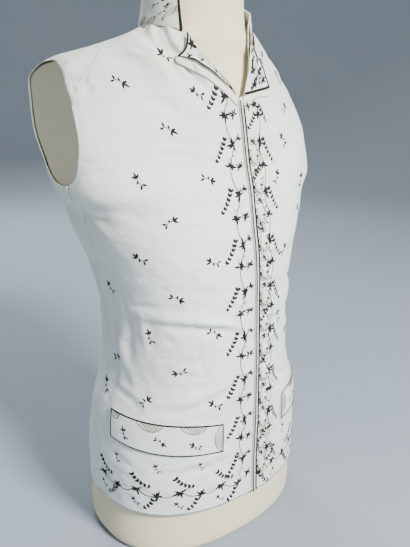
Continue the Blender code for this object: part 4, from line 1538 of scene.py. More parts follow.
RIGHT_REPEAT = Repeat(
    knots=((9, 0), (16, 17), (17, 36), (11, 50)),
    tufts=(
        Tuft(9, 0, 30, 62), Tuft(16.5, 35, -50, 150, 0.95), Tuft(1.5, -27, 20, 20, 0.8),
        Tuft(0.5, 6, -30, -30, 0.62),
    ),
    shoots=(((1.5, -27), (7, -20), (12, -12)),),
    combs=((COMB, (21, 9), (39, -20), -1.5),),
    stalk=((9, 0), (14, 7), (21, 9)),
    tendrils=((14, -18, 1, 1.0), (12, 46, -1, 0.9)),
)  # fmt: skip
LEFT_REPEAT = Repeat(
    knots=((32, 0), (37, 17), (38, 34), (33, 48)),
    tufts=(Tuft(33, -1, 24, 66), Tuft(37, 32, -34, -34, 0.9)),
    shoots=(),
    combs=((COMB, (40, 5), (58, -25), -1.5), (SMALL_COMB, (31, 34), (15, 16), 0.5)),
    stalk=((33, -1), (36, 4), (40, 5)),
    tendrils=((35, -16, 1, 1.0), (40, 40, 1, 0.9)),
)


@dataclass(frozen=True)
class RightBorder:
    """The upright border beside the right front's edge: a vine with combs and tufts.

    Places are in mm from the front middle and over the hem.
    """

    def sew(self, on: Stitcher) -> None:
        """Sews the border.

        Args:
            on: Where it is sewn.
        """
        knots = [(17, 36)]
        for k in range(BORDER_REPEATS):
            knots += RIGHT_REPEAT.sew(on, k)
        top = BORDER_TOP
        on.line(curve([*knots, (9, top - 4)], 8), VINE_LINE)
        CLUSTER.sew(on, 13, top - 6, 10)
        CLUSTER.sew(on, 3, top - 26, 30, 0.8)
        COMB.sew(on, (23, top + 6), (40, top - 20), -1.5)
        # Tan running stitches just beside the lapping left front's edge: partly stitches, partly painted
        # shadow that the lap casts.
        on.dashes(curve([(-3.5, 6), (-3.5, 530)], 40), EDGE_DASHES_AND_LAP_SHADOW, Thread.TAN)


# Places in mm beside a button's middle: outwards and up. The dark scroll hugs each button's rim and is partly
# painted shadow round it.
BUTTON_SCROLL_AND_SHADOW = [(3.0, 10.6), (7.6, 7.4), (9.0, 1.0), (7.8, -6.0), (3.4, -10.4), (1.0, -9.4), (2.4, -8.2)]
BUTTON_CURL = [(1.0, 17.5), (4.6, 15.6), (7.0, 18.0), (5.4, 20.6), (3.6, 18.8)]
# Leaves beside a button: place outwards and up in mm, length and width, and angle.
BUTTON_LEAVES = [(9.8, -4.0, (7.4, 3.0), -24), (7.0, 9.0, (5.8, 2.5), 58), (8.2, -8.0, (5.4, 2.3), 122)]
SCROLL_SHIFT = 0.3  # of the scrolls' middle, outwards from the buttons' in mm
WINDING_SWING, WINDING_LIFT = 5.5, 7
WINDING_LEVEL, WINDING_STEP = 0.30, 0.22  # shares of the buttons' pitch


@dataclass(frozen=True)
class LeftBorder:
    """The border round the buttons: a vine, combs, scrolls (partly painted shadow round each button) and a
    dark line by the band.

    Places are in mm from the front middle and over the hem.
    """

    def sew(self, on: Stitcher) -> None:
        """Sews the border.

        Args:
            on: Where it is sewn.
        """
        knots = [(31, 40)]
        for k in range(BORDER_REPEATS):
            knots += LEFT_REPEAT.sew(on, k)
        top = BORDER_TOP
        CLUSTER.sew(on, 32, top - 17, -20, 0.9)
        COMB.sew(on, (40, top - 16), (56, top - 38), -1.5)
        CLUSTER.sew(on, 19, top - 18, 40, 0.7)
        on.line(curve([*knots, (33, top - 18)], 8), BUTTON_VINE_LINE)
        self.sew_round_buttons(on)
        on.line(curve([(13.1, 1.5), (13.2, 200), (13.1, 400), (13.0, 530)], 60), EDGE_LINE)

    def sew_round_buttons(self, on: Stitcher) -> None:
        """Sews the scroll, which is partly painted shadow round each button's rim, and the leaves beside the
        buttons.

        Args:
            on: Where it is sewn.
        """
        middle = BUTTON_X / MM + SCROLL_SHIFT
        low = (BUTTON_LOWEST - HEM_HEIGHT) / MM
        pitch = BUTTON_PITCH / MM
        scroll = []
        for k in range(BUTTON_COUNT):
            v = low + k * pitch
            for side in (-1, 1):
                # Dark arcs hugging the button's rim on both sides: partly embroidered scroll, partly painted
                # shadow.
                rim = [(middle + side * a, v + b) for a, b in BUTTON_SCROLL_AND_SHADOW]
                on.line(curve(rim, 5), SCROLL_AND_SHADOW_LINE)
                curl = [(middle + side * a, v + b) for a, b in BUTTON_CURL]
                on.line(curve(curl, 4), CURL_LINE, Thread.TAN)
                for aside, above, size, angle in BUTTON_LEAVES:
                    on.leaf((middle + side * aside) * MM, (v + above) * MM, size, side * angle)
                level = (WINDING_LEVEL + WINDING_STEP * side) * pitch
                scroll.append((middle - side * (-1) ** k * WINDING_SWING, v + level + WINDING_LIFT))
            on.leaf(middle * MM, (v + pitch * 0.5 - 3.0) * MM, (5.2, 1.8), 8)
            CLUSTER.sew(on, middle - 1, v + pitch * 0.5 + 1.5, 0, 0.62)
        on.line(curve(scroll, 6), WINDING_LINE, Thread.TAN)


# The hem's vine, in millimetres round the form and over the hem: tufts at an even pitch, by turns
# under and over a line that climbs towards the side seam.
HEM_FIRST = 18.0
HEM_PITCH = 29.0
HEM_TUFT_COUNT = 8
HEM_LINE = 27.0
HEM_CLIMB = 0.055
HEM_SWING = 3.5
HEM_SAG = 3.0  # how far the vine hangs between two tufts
HEM_TURNS = (28.0, 168.0)  # which way the low and the high tufts point
# Beside a low and a high tuft, from its place: a comb's two ends and its bow, then a sprig's place
# and its angle.
HEM_COMBS = (((6, -4), (21, -21), -3.0), ((6, 23), (-21, 6), 4.0))
HEM_SPRIGS = ((0, 44, 24), (2, -20, 52))
HEM_SPRIG_SCALE = 0.75

# Stitches that mend the cloth by the armhole: places from the front middle and over the hem, in mm.
SHOULDER_MENDS = [
    [(155, 582), (170, 569), (184, 555)], [(188, 565), (188.5, 550)], [(185.5, 551), (189.5, 544)],
    [(189, 552), (184.5, 545)],
]  # fmt: skip


@dataclass(frozen=True)
class HemBorder:
    """The border over the hem: a vine with combs over and under it and a dashed edge line."""

    far: float = 244.0

    def tuft(self, k: int) -> tuple[float, float]:
        """The place of a tuft, counted from the front edge."""
        u = HEM_FIRST + HEM_PITCH * k
        return u, HEM_LINE + HEM_CLIMB * u + HEM_SWING * (-1) ** (k + 1)

    def sew(self, on: Stitcher) -> None:
        """Sews the border.

        Args:
            on: Where it is sewn.
        """
        tufts = [self.tuft(k) for k in range(HEM_TUFT_COUNT)]
        knots = []
        for k, (u, v) in enumerate(tufts):
            knots += [(u, v), (u + HEM_PITCH / 2, v + HEM_SWING * (-1) ** k - HEM_SAG)]
            CLUSTER.sew(on, u, v, HEM_TURNS[k % 2])
            tendril(on, u - 8, v + 4, -1)
            *ends, bow = HEM_COMBS[k % 2]
            start, end = ((u + across, v + up) for across, up in ends)
            COMB.sew(on, start, end, bow)
            across, up, angle = HEM_SPRIGS[k % 2]
            SPRIG.sew(on, u + across, v + up, angle, HEM_SPRIG_SCALE)
        on.line(curve(knots, 7), VINE_LINE)
        on.dashes(curve([(-4 if not on.mirrored else 12, 2.2), (self.far, 2.2)], 60), HEM_DASHES)
        on.dashes(curve([(0, 7.6), (self.far, 7.6)], 60), HEM_FINE_DASHES, Thread.TAN)


# ---------------------------------------------------------------- the cloth pieces
@dataclass
class FrontPanel:
    """One front, from its side seam to its edge, up to the shoulder and round the neck."""

    side: Side

    def points(self) -> Array:
        """Works out the points of the form under the panel.

        Returns:
            The points, in rows from the hem up.
        """
        side = self.side.value
        corner = SURFACE.yoke(float(side), ARMPIT_TURN + SEAM_HALF_TURN)
        edge_x = RIGHT_EDGE_X if self.side is Side.RIGHT else LEFT_EDGE_X
        lower = level_rows(
            lambda z: side * (side_seam(z) - SEAM_HALF_ROUND),
            lambda z: np.degrees(np.arctan2(edge_x, column(FORM_SECTIONS, "height", "front", z))),
            np.full(PANEL_COLUMNS, corner[2]),
            PANEL_ROWS,
        )
        lower[-1][0] = corner
        steps = OPENING_STEPS[self.side]
        turns = np.linspace(ARMPIT_TURN + SEAM_HALF_TURN, SHOULDER_TURN - SEAM_HALF_TURN, sum(steps) + 1)
        hole = joined(float(side), turns)
        seam = SURFACE.yoke_place(resample(shoulder_seam(self.side, -SEAM_HALF_TURN), PANEL_COLUMNS))
        edge = SURFACE.yoke_place(opening(self.side, corner[2], steps))
        upper = ruled(SURFACE.yoke_place(lower[-1]), hole, seam, edge)
        return np.concatenate([lower, upper])

    def build(self, cloth: Material) -> Piece:
        """Builds the panel and remembers its outer face.

        Args:
            cloth: Its material.

        Returns:
            The piece.
        """
        points = self.points()
        places = cloth_places(points)
        armpit = float(points[PANEL_ROWS - 1, 0, 2])
        top = beside_armhole(front_top(points, self.side), points, places[..., 0], armpit)
        self.outer = SURFACE.raised(points, top)
        faces = (SURFACE.raised(points, top - SHELL_WALL), self.outer)
        name, node = f"{self.side.word}_front_cloth", f"front_{self.side.word}"
        return walled(name, cloth, faces, places, Slot.LINEN, node)


@dataclass
class BackPanel:
    """The back, from the right side seam round to the left one and up to the shoulders."""

    def points(self) -> Array:
        """Works out the points of the form under the panel.

        Returns:
            The points, in rows from the hem up.
        """
        corner = SURFACE.yoke(1.0, ARMPIT_TURN - SEAM_HALF_TURN)
        columns = sum(BACK_STEPS) + 1
        share = shares(columns)
        inward = np.minimum(share, 1 - share) * CAD_BACK_STEPS
        lower = level_rows(
            lambda z: 360.0 - side_seam(z) - SEAM_HALF_ROUND,
            lambda z: side_seam(z) + SEAM_HALF_ROUND,
            corner[2] - BACK_ARMPIT_DIP * ease(inward),
            PANEL_ROWS,
        )
        lower[-1][0] = corner * (-1, 1, 1)
        lower[-1][-1] = corner
        bottom = SURFACE.yoke_place(lower[-1])
        bottom[:, 1] -= 360.0 * (bottom[:, 1] > 0)
        turns = np.linspace(
            ARMPIT_TURN - SEAM_HALF_TURN, SHOULDER_TURN + SEAM_HALF_TURN - 360.0, BACK_UPPER_ROWS
        )
        angle = NECK_SEAM_ANGLE + SEAM_HALF_TURN
        neck = SURFACE.neckline(np.linspace(360.0 - angle, angle, NECK_POINTS))
        seams = [shoulder_seam(Side.RIGHT, SEAM_HALF_TURN), shoulder_seam(Side.LEFT, SEAM_HALF_TURN)[::-1]]
        top = SURFACE.yoke_place(resample_parts([seams[0], neck, seams[1]], BACK_STEPS)) - (0.0, 360.0)
        sides = [joined(x, turns) for x in (-1.0, 1.0)]
        return np.concatenate([lower, ruled(bottom, sides[0], top, sides[1])])

    def build(self, cloth: Material) -> Piece:
        """Builds the panel and remembers its outer face.

        Args:
            cloth: Its material.

        Returns:
            The piece.
        """
        points = self.points()
        places = cloth_places(points)
        across = places[..., 0]
        armpit = float(points[PANEL_ROWS - 1, 0, 2])
        nearest = np.minimum(across, across[:, -1:] - across)
        top = beside_armhole(DRAPE.outer(points), points, nearest, armpit)
        self.outer = SURFACE.raised(points, top)
        faces = (SURFACE.raised(points, top - SHELL_WALL), self.outer)
        return walled("back_cloth", cloth, faces, places, Slot.LINEN, "back")


@dataclass
class Collar:
    """The stand collar, lower at its left front corner."""

    columns: int = 170
    rows: int = 26
    wave: float = 0.0007
    waves: tuple = (23.0, 1.3)  # radians along it, and at its start
    ripple: float = 0.0004
    ripples: tuple = (61, 5)  # radians along it and up it
    belly: tuple = (1.4, 0.05)  # half waves of its swell up it, and at its foot
    end_share: float = 0.05  # over which its ends lean

    def build(self, cloth: Material) -> Piece:
        """Builds the collar and remembers its outer face.

        Args:
            cloth: Its material.

        Returns:
            The piece.
        """
        around = np.linspace(COLLAR_ENDS[0], COLLAR_ENDS[1], self.columns)
        share = shares(self.columns)
        top = column(COLLAR_TOPS, "share", "height", share)
        lean = column(COLLAR_TOPS, "share", "lean", share)
        end_lean = COLLAR_END_LEAN * (np.exp(-share / self.end_share) - np.exp((share - 1) / self.end_share))
        faces = []
        for radius in (COLLAR_RADIUS - COLLAR_WALL, COLLAR_RADIUS):
            foot = SURFACE.raised(SURFACE.neckline(around, radius), COLLAR_SEAT)
            reach = np.hypot(foot[:, 0], foot[:, 1] - NECK_CENTRE_Y)
            grid = []
            for level in shares(self.rows):
                wave = self.wave * level * np.sin(share * self.waves[0] + self.waves[1])
                wave = wave + self.ripple * np.sin(share * self.ripples[0] + self.ripples[1] * level)
                angle = np.radians(around + end_lean * level)
                swell = math.sin(math.pi * min(1.0, level * self.belly[0] + self.belly[1]))
                out = reach - lean * level + wave * swell
                x, y = out * np.sin(angle), NECK_CENTRE_Y - out * np.cos(angle)
                grid.append(joined(x, y, foot[:, 2] * (1 - level) + top * level))
            faces.append(np.array(grid))
        self.outer = faces[1]
        return walled("stand_collar_cloth", cloth, faces, cloth_places(faces[1]), Slot.LINEN, "collar")


@dataclass(frozen=True)
class LapelShape:
    """A lapel's lines as (x, height) places in mm on the front, and those of its band."""

    root: tuple
    edge: tuple
    band_inner: tuple
    band_outer: tuple
    hollow: float = 0.0


LAPEL_SHAPES = {
    Side.RIGHT: LapelShape(
        root=((-51.0, 679.0), (-24.0, 643.0), (0.0, 613.0)),
        edge=((-63.0, 655.0), (-27.3, 635.0), (2.5, 607.5)),
        band_inner=((-64.0, 654.1), (-28.0, 633.8), (2.5, 606.2)),
        band_outer=((-64.0, 645.5), (-26.2, 622.5), (4.0, 596.5)),
        hollow=4.0,
    ),
    Side.LEFT: LapelShape(
        root=((30.0, 668.0), (23.5, 638.0), (11.0, 608.5)),
        edge=((37.0, 668.0), (59.0, 647.0), (70.0, 614.5)),
        band_inner=((70.0, 613.6), (41.0, 612.2), (12.5, 607.6)),
        band_outer=((68.0, 605.5), (40.0, 605.2), (11.8, 599.0)),
    ),
}


def laid(points: Array, side: Side, lift: Array | float) -> Array:
    """Moves points of the form out to lie over a front, bridging its troughs.

    Args:
        points: Points of the form.
        side: Which front.
        lift: A further lift.

    Returns:
        The moved points.
    """
    lap = lap_lift(points) if side is Side.LEFT else 0.0
    plain = DRAPE.gap(points) + CAD_CLOTH_WALL + lap
    return SURFACE.raised(points, np.maximum(front_top(points, side), plain) + LAP_GAP + lift)


def patch(first: Sequence, second: Sequence, rows: int, columns: int, hollow: float = 0.0) -> Array:
    """Surface points between two bent lines of (x, height) places in mm.

    Args:
        first: The line at the first column.
        second: The line at the last column.
        rows: Rows along the lines.
        columns: Columns between them.
        hollow: How far the middle of the first row is drawn in, in mm.

    Returns:
        The points, shape (rows, columns, 3).
    """
    lines = [resample(curve(line, 10), rows)[:, None] for line in (first, second)]
    share = shares(columns)[None, :, None]
    flat = lines[0] * (1 - share) + lines[1] * share
    inward = flat[-1:] - flat[:1]
    inward /= np.linalg.norm(inward, axis=-1, keepdims=True)
    fading = (1 - shares(rows)[:, None, None]) ** 3
    flat = flat + hollow * MM * fading * np.sin(math.pi * share) * inward
    return SURFACE.front(flat[..., 0], flat[..., 1])


LAPEL_LINE = 2.7
COLLAR_LINE = 2.9
COLLAR_LINE_INSET = 0.0015
COLLAR_LINE_END, BAND_LINE_END = 0.0006, 0.001  # how far the lines stop from the edges
COLLAR_END_SCALLOP = (3.2, 7.0, 11.0)  # inset from the end, room above and below, depth
COLLAR_FOOT_SCALLOP = (16.0, 2.4, 8.0)  # length, height over the foot, depth
# Places in mm along the collar, below 0 from its other end.
COLLAR_FOOT_STARTS = (17.0, 38.0, -33.0, -54.0)
COLLAR_SPRIGS = [(24, 22, 50), (44, 24, -30), (-24, 20, -40), (-44, 26, 40)]
COLLAR_SPRIG_SCALE = 0.75
WELT_LINE_INSET = 1.0
# The top line is thicker partly as painted shadow along the welt's open top edge.
WELT_TOP_LINE_AND_SHADOW, WELT_LINE = 2.7, 1.8
BAND_LINE = 1.8
LAPEL_CURLS = (0.26, 0.42, 0.52, 0.68, 0.80)
LAPEL_CURL_PAIR = ((0.55, 0.0, -1, 0.8), (0.40, 3.0, 1, 0.7))  # depth, mm above, flip, size
LAPEL_COMB_BOW = 0.6
# Each tuft's share of the width, its share of the length there, its direction and its size; each
# comb's two ends, as shares of the width and of the length.
LAPEL_TUFTS = {
    Side.RIGHT: [
        (0.10, 0.20, 200, 0.85), (0.14, 0.74, 150, 0.6), (0.34, 0.50, 190, 0.35), (0.58, 0.45, 200, 0.35),
        (0.90, 0.40, 200, 0.4),
    ],
    Side.LEFT: [
        (0.30, 0.45, 160, 0.8), (0.44, 0.70, 200, 0.8), (0.58, 0.26, 150, 0.8), (0.66, 0.62, 190, 0.9),
        (0.84, 0.80, 170, 0.9), (0.88, 0.36, 150, 0.8), (0.12, 0.4, 180, 0.6),
    ],
}  # fmt: skip
LAPEL_COMBS = {
    Side.LEFT: [((0.36, 0.30), (0.62, 0.16)), ((0.58, 0.82), (0.90, 0.58)), ((0.74, 0.45), (0.94, 0.20))],
}


@dataclass
class Lapel:
    """A turned-back corner of a front, with a band along its lower edge."""

    side: Side
    rows: int = 64
    columns: int = 30
    band_columns: int = 9
    wave: float = 0.0005
    waves: tuple = (11, 2)  # radians along it, and at its start

    def build(self, cloth: Material) -> Piece:
        """Builds the lapel and remembers its outer face.

        Args:
            cloth: Its material.

        Returns:
            The piece.
        """
        shape = LAPEL_SHAPES[self.side]
        points = patch(shape.root, shape.edge, self.rows, self.columns, shape.hollow)
        across = shares(self.columns)[None, :]
        along = shares(self.rows)[:, None]
        wave = self.wave * np.sin(self.waves[0] * along + self.waves[1]) * np.sin(math.pi * across)
        roll = LAPEL_ROLL * (1 - across) ** 2 + LAPEL_LIFT * across**3 + wave + LAPEL_WALL
        self.outer = laid(points, self.side, roll)
        faces = (laid(points, self.side, roll - SHELL_WALL), self.outer)
        name, node = f"{self.side.word}_lapel_cloth", f"lapel_{self.side.word}"
        return walled(name, cloth, faces, cloth_places(points), Slot.LINEN, node)

    def build_band(self, trim: Material) -> Piece:
        """Builds the band.

        Args:
            trim: Its material.

        Returns:
            The piece.
        """
        shape = LAPEL_SHAPES[self.side]
        points = patch(shape.band_inner, shape.band_outer, self.rows, self.band_columns)
        faces = (laid(points, self.side, 0.0), laid(points, self.side, TRIM_WALL))
        name, node = f"{self.side.word}_lapel_band_cloth", f"lapel_band_{self.side.word}"
        return walled(name, trim, faces, cloth_places(points), Slot.TRIM, node)


# Shares of the welt's length and depths in mm; then shares of its length and width, and angles.
WELT_SCALLOPS = [(0.15, 0.36, 10.0), (0.50, 0.72, 10.0), (0.89, 0.99, 9.0)]
WELT_SPRIGS = [(0.25, 0.33, 70), (0.53, 0.44, -118), (0.84, 0.42, 20)]
WELT_SPRIG_SCALE = 0.9
WELT_SCALLOP_INSET = 1.8
WELT_END_INSET = 1.6
WELT_END_DROP = 12.5


@dataclass
class Welt:
    """A pocket welt that lies on a front."""

    side: Side
    rows: int = 22
    columns: int = 76

    def build(self, cloth: Material) -> Piece:
        """Builds the welt and remembers its outer face.

        Args:
            cloth: Its material.

        Returns:
            The piece.
        """
        share = shares(self.columns)
        top, low = (column(WELT_EDGES, "share", name, share) for name in ("top", "bottom"))
        level = shares(self.rows)[:, None]
        height = low * (1 - level) + top * level + WELT_LIFT[self.side]
        distance = WELT_START[self.side] + self.side.value * share * WELT_LENGTH
        points = SURFACE.ring(ROUNDS.bearing(distance, height), height)
        self.outer = laid(points, self.side, WELT_LOOSE + TRIM_WALL)
        faces = (laid(points, self.side, WELT_LOOSE), self.outer)
        name, node = f"{self.side.word}_pocket_welt_cloth", f"pocket_welt_{self.side.word}"
        return walled(name, cloth, faces, cloth_places(points), Slot.WELT, node)


@dataclass
class FrontBand:
    """The narrow band along the lapping edge."""

    rows: int = 200
    columns: int = 5
    crown: float = 0.0004

    def build(self, trim: Material) -> Piece:
        """Builds the band and remembers its outer face.

        Args:
            trim: Its material.

        Returns:
            The piece.
        """
        height = np.linspace(HEM_HEIGHT, FOLD_HEIGHT, self.rows)[:, None]
        across = LEFT_EDGE_X + SEAM_GAP + np.linspace(0.0, FRONT_BAND_WIDTH, self.columns)[None, :]
        points = SURFACE.front(across, height)
        crown = FRONT_BAND_WALL - self.crown * np.linspace(-1, 1, self.columns)[None, :] ** 2
        self.outer = laid(points, Side.LEFT, crown)
        faces = (laid(points, Side.LEFT, 0.0), self.outer)
        return walled("front_band_cloth", trim, faces, cloth_places(points), Slot.TRIM, "front_band")

    def sew(self, silks: list[Material]) -> Piece:
        """Sews the dark cord line on the band.

        Args:
            silks: The silks.

        Returns:
            The piece.
        """
        ground = GridGround(self.outer)
        on = Stitcher("front_band_embroidery", ground, BAND_SEED)
        up = np.linspace(BAND_LINE_END, ground.width - BAND_LINE_END, 300)
        on.line(joined(BAND_LINE_PLACE, up), BAND_LINE)
        return on.make(silks)


# The button's half section: radius and height over its seat, in mm.
BUTTON_RADIUS = 7.5
BUTTON_SPRIG = [(-46, 4.4), (0, 5.2), (44, 4.4), (180, 4.0)]  # each leaf's angle and length in mm
BUTTON_PROFILE = [
    (0.0, 0.0), (4.4, 0.0), (7.0, 0.0), (7.4, 0.5), (7.5, 1.2), (7.2, 1.9), (6.5, 2.6), (5.2, 3.4),
    (3.6, 4.1), (1.8, 4.5), (0.0, 4.6),
]  # fmt: skip


@dataclass
class Button:
    """A covered button with a small sprig, the cloth drawn in folds to its rim."""

    number: int
    sides: int = 40
    pleats: int = 13
    pleat: float = 0.012
    leaf_width: float = 1.9
    leaf_foot: float = 0.4
    dome_top: float = 4.66
    dome_fall: float = 0.030
    shift: float = 0.02  # of the weave from one button to the next
    sway: float = 40  # of the sprig to either side, in degrees

    def build(self, cloth: Material, silks: list[Material]) -> Piece:
        """Builds the button, with its sprig, where it is sewn on.

        Args:
            cloth: Its material.
            silks: The silks.

        Returns:
            The piece.
        """
        height = BUTTON_LOWEST + BUTTON_PITCH * (self.number - 1)
        point = SURFACE.front(np.array([BUTTON_X]), np.array([height]))
        seat = SURFACE.raised(point, front_top(point, Side.LEFT) + BUTTON_SEAT)[0]
        turn = Vector(SURFACE.normal(point)[0]).to_track_quat("Z", "Y").to_matrix()
        angle = np.linspace(0, math.tau, self.sides, endpoint=False)
        hand = random.Random(self.number)
        swing = hand.uniform(0, math.tau)
        rings = []
        for radius, lift in BUTTON_PROFILE:
            pleat = self.pleat * (radius / BUTTON_RADIUS) ** 4 * np.sin(angle * self.pleats + swing)
            out = radius * MM * (1 + pleat)
            rings.append(joined(out * np.cos(angle), out * np.sin(angle), lift * MM))
        grid = np.array(rings)
        places = grid[..., :2] + self.shift * self.number
        world = grid @ np.array(turn).T + seat
        weaver = Weaver(f"button_{self.number:02d}_cloth", [cloth, *silks])
        weaver.grid(world[1:-1], places[1:-1], close=True)
        for ring in (world[1], world[-2]):
            centre = weaver.bm.verts.new(ring.mean(axis=0))
            self.cap(weaver, centre, ring)
        bmesh.ops.remove_doubles(weaver.bm, verts=weaver.bm.verts, dist=1e-6)
        self.sew(weaver, turn, seat, hand)
        return weaver.finish(Slot.BUTTON, f"button_{self.number:02d}")

    def cap(self, weaver: Weaver, centre: bmesh.types.BMVert, ring: Array) -> None:
        """Closes one end of the button with a fan.

        Args:
            weaver: Makes the button.
            centre: The end's middle.
            ring: Points of the end's rim.
        """
        verts = [weaver.bm.verts.new(p) for p in ring.tolist()]
        for k in range(self.sides):
            trio = (centre, verts[k], verts[(k + 1) % self.sides])
            weaver.face(trio, [(0.0, 0.0)] * 3)

    def sew(self, weaver: Weaver, turn: Matrix, seat: Array, hand: random.Random) -> None:
        """Lays four small leaves on the button's dome.

        Args:
            weaver: Makes the button.
            turn: Turns its axes to those of the cloth.
            seat: Where it is sewn on.
            hand: Varies the sprig.
        """
        start = hand.uniform(-self.sway, self.sway)
        for lean, length in BUTTON_SPRIG:
            heading = math.radians(start + lean)
            along = np.array([math.sin(heading), math.cos(heading)])
            aside = np.array([along[1], -along[0]])
            corners = []
            for share, width in LEAF_OUTLINE + LEAF_SPINE:
                flat = along * (self.leaf_foot + share * length) + aside * width * self.leaf_width
                rise = self.dome_top - self.dome_fall * float(flat @ flat)
                rise += LEAF_RISE if len(corners) >= len(LEAF_OUTLINE) else LEAF_RIM
                local = Vector((flat[0] * MM, flat[1] * MM, rise * MM))
                corners.append(weaver.bm.verts.new(turn @ local + Vector(seat)))
            for face in LEAF_FACES:
                places = [(LEAF_OUTLINE + LEAF_SPINE)[k][::-1] for k in face[::-1]]
                flat_places = [(a * self.leaf_width * MM, b * length * MM) for a, b in places]
                weaver.face([corners[k] for k in face[::-1]], flat_places, 1)


# ---------------------------------------------------------------- the dress form
@dataclass
class DressForm:
    """The limbless form: cloth-covered, with flat arm ends and a neck stump rounded at its top."""

    columns: int = 144
    rows: int = 120
    dome_rows: int = 60

    def rings(self) -> list[Array]:
        """Works out its rings, from the foot up to the top of the neck.

        Returns:
            The rings.
        """
        bearing = np.linspace(0.0, 360.0, self.columns, endpoint=False)
        rings = []
        for height, inset in FORM_FOOT:
            rings.append(SURFACE.ring(bearing, height) * (inset, inset, 1.0))
        for height in np.linspace(FORM_FOOT[-1][0], ARM_AXIS_Z, self.rows)[1:]:
            rings.append(SURFACE.ring(bearing, height))
        for lift in np.linspace(0.0, DOME_LIFT, self.dome_rows)[1:]:
            rings.append(SURFACE.dome(bearing, lift))
        offset = rings[-1][:, :2] - (0.0, NECK_CENTRE_Y)
        unit = offset / np.linalg.norm(offset, axis=1, keepdims=True)
        for height, radius in NECK_RINGS:
            ring = np.zeros((self.columns, 3))
            ring[:, :2] = unit * radius + (0.0, NECK_CENTRE_Y)
            ring[:, 2] = height
            rings.append(ring)
        return rings

    def build(self, cloth: Material) -> Piece:
        """Builds the form.

        Args:
            cloth: Its material.

        Returns:
            The piece.
        """
        rings = self.rings()
        weaver = Weaver("form_body", [cloth])
        grid = np.array(rings)
        verts = weaver.grid(grid, cloth_places(grid), close=True)
        for ring in (verts[0][::-1], verts[-1]):
            weaver.face(ring, [(0.0, 0.0)] * len(ring))
        for side in Side:
            self.cut_arm(weaver.bm, side)
        return weaver.finish(Slot.FORM, "dress_form")

    def cut_arm(self, bm: bmesh.types.BMesh, side: Side) -> None:
        """Cuts the form flat at one arm and softens the cut's rim.

        Args:
            bm: The form's mesh.
            side: Which arm.
        """
        point = Vector((side.value * (ARM_PLANE_X - ARM_END_INSET), 0.0, ARM_AXIS_Z))
        normal = Vector((side.value, 0.0, -ARM_PLANE_SLOPE)).normalized()
        everything = bm.verts[:] + bm.edges[:] + bm.faces[:]
        cut = bmesh.ops.bisect_plane(
            bm, geom=everything, dist=1e-6, plane_co=point, plane_no=normal, clear_outer=True
        )
        rim = [e for e in cut["geom_cut"] if isinstance(e, bmesh.types.BMEdge)]
        made = bmesh.ops.contextual_create(bm, geom=rim)
        plate = made["faces"][0]
        inset = bmesh.ops.inset_region(bm, faces=[plate], thickness=ARM_RIM_WIDTH, depth=0.0)
        bmesh.ops.translate(bm, verts=plate.verts[:], vec=normal * ARM_PLATE_RISE)
        for face in [plate, *inset["faces"]]:
            face.smooth = True
        plate.smooth = False


# ---------------------------------------------------------------- finishes
class Bench:
    """Adds nodes to one shader tree and links them."""

    def __init__(self, tree: Tree) -> None:
        """Starts work on a tree."""
        self.tree = tree

    def add(self, kind: str, inputs: dict | None = None, **settings: object) -> Node:
        """Adds a node.

        Args:
            kind: Its type name without the ShaderNode prefix.
            inputs: Values or sockets for its inputs, by name or number.
            settings: Its properties.

        Returns:
            The node.
        """
        node = self.tree.nodes.new(kind if kind.startswith("NodeGroup") else f"ShaderNode{kind}")
        for name, value in settings.items():
            setattr(node, name, value)
        self.feed(node, inputs or {})
        return node

    def feed(self, node: Node, inputs: dict) -> None:
        """Sets or links a node's inputs.

        Args:
            node: The node.
            inputs: Values or sockets, by name or number.
        """
        for key, value in inputs.items():
            if isinstance(value, Socket):
                self.tree.links.new(value, node.inputs[key])
            else:
                node.inputs[key].default_value = value

    def math(self, operation: str, a: object, b: object = 0.0, clamp: bool = False) -> Socket:
        """Adds a sum of two numbers or sockets and returns its result."""
        node = self.add("Math", {0: a, 1: b}, operation=operation, use_clamp=clamp)
        return node.outputs[0]

    def noise(self, place: object, scale: float, detail: float = 3.0, rough: float = 0.55) -> Socket:
        """Adds a noise and returns its value."""
        values = {"Vector": place, "Scale": scale, "Detail": detail, "Roughness": rough}
        return self.add("TexNoise", values).outputs["Fac"]

    def scaled(self, place: object, scale: tuple) -> Socket:
        """Scales a place along its axes."""
        return self.add("Mapping", {"Vector": place, "Scale": scale}).outputs["Vector"]

    def span(self, value: object, low: float, high: float) -> Socket:
        """Stretches a value so that low gives 0 and high gives 1."""
        node = self.add("MapRange", {"Value": value, "From Min": low, "From Max": high})
        return node.outputs["Result"]

    def bump(self, height: object, distance: float, strength: float, more: dict | None = None) -> Socket:
        """Adds a bump, with more inputs where they are given."""
        values = {"Height": height, "Distance": distance, "Strength": strength, **(more or {})}
        return self.add("Bump", values).outputs[0]

    def blend(self, share: object, first: object, second: object, how: str = "MIX") -> Socket:
        """Mixes two colours.

        Args:
            share: Share of the second colour.
            first: The first colour.
            second: The second colour.
            how: The kind of mix.

        Returns:
            The mixed colour.
        """
        node = self.add("Mix", data_type="RGBA", blend_type=how)
        self.feed(node, {0: share, 6: first, 7: second})
        return node.outputs[2]


def new_group(name: str, inputs: Sequence[tuple], outputs: Sequence[tuple]) -> tuple[Bench, object, object]:
    """Starts a node group.

    Args:
        name: Its name.
        inputs: Names and socket types of its inputs.
        outputs: Names and socket types of its outputs.

    Returns:
        Its bench, its input node and its output node.
    """
    tree = bpy.data.node_groups.new(name, "ShaderNodeTree")
    for way, sockets in (("INPUT", inputs), ("OUTPUT", outputs)):
        for label, kind in sockets:
            tree.interface.new_socket(label, in_out=way, socket_type=kind)
    bench = Bench(tree)
    return bench, bench.add("NodeGroupInput"), bench.add("NodeGroupOutput")


VALUE, VECTOR = "NodeSocketFloat", "NodeSocketVector"
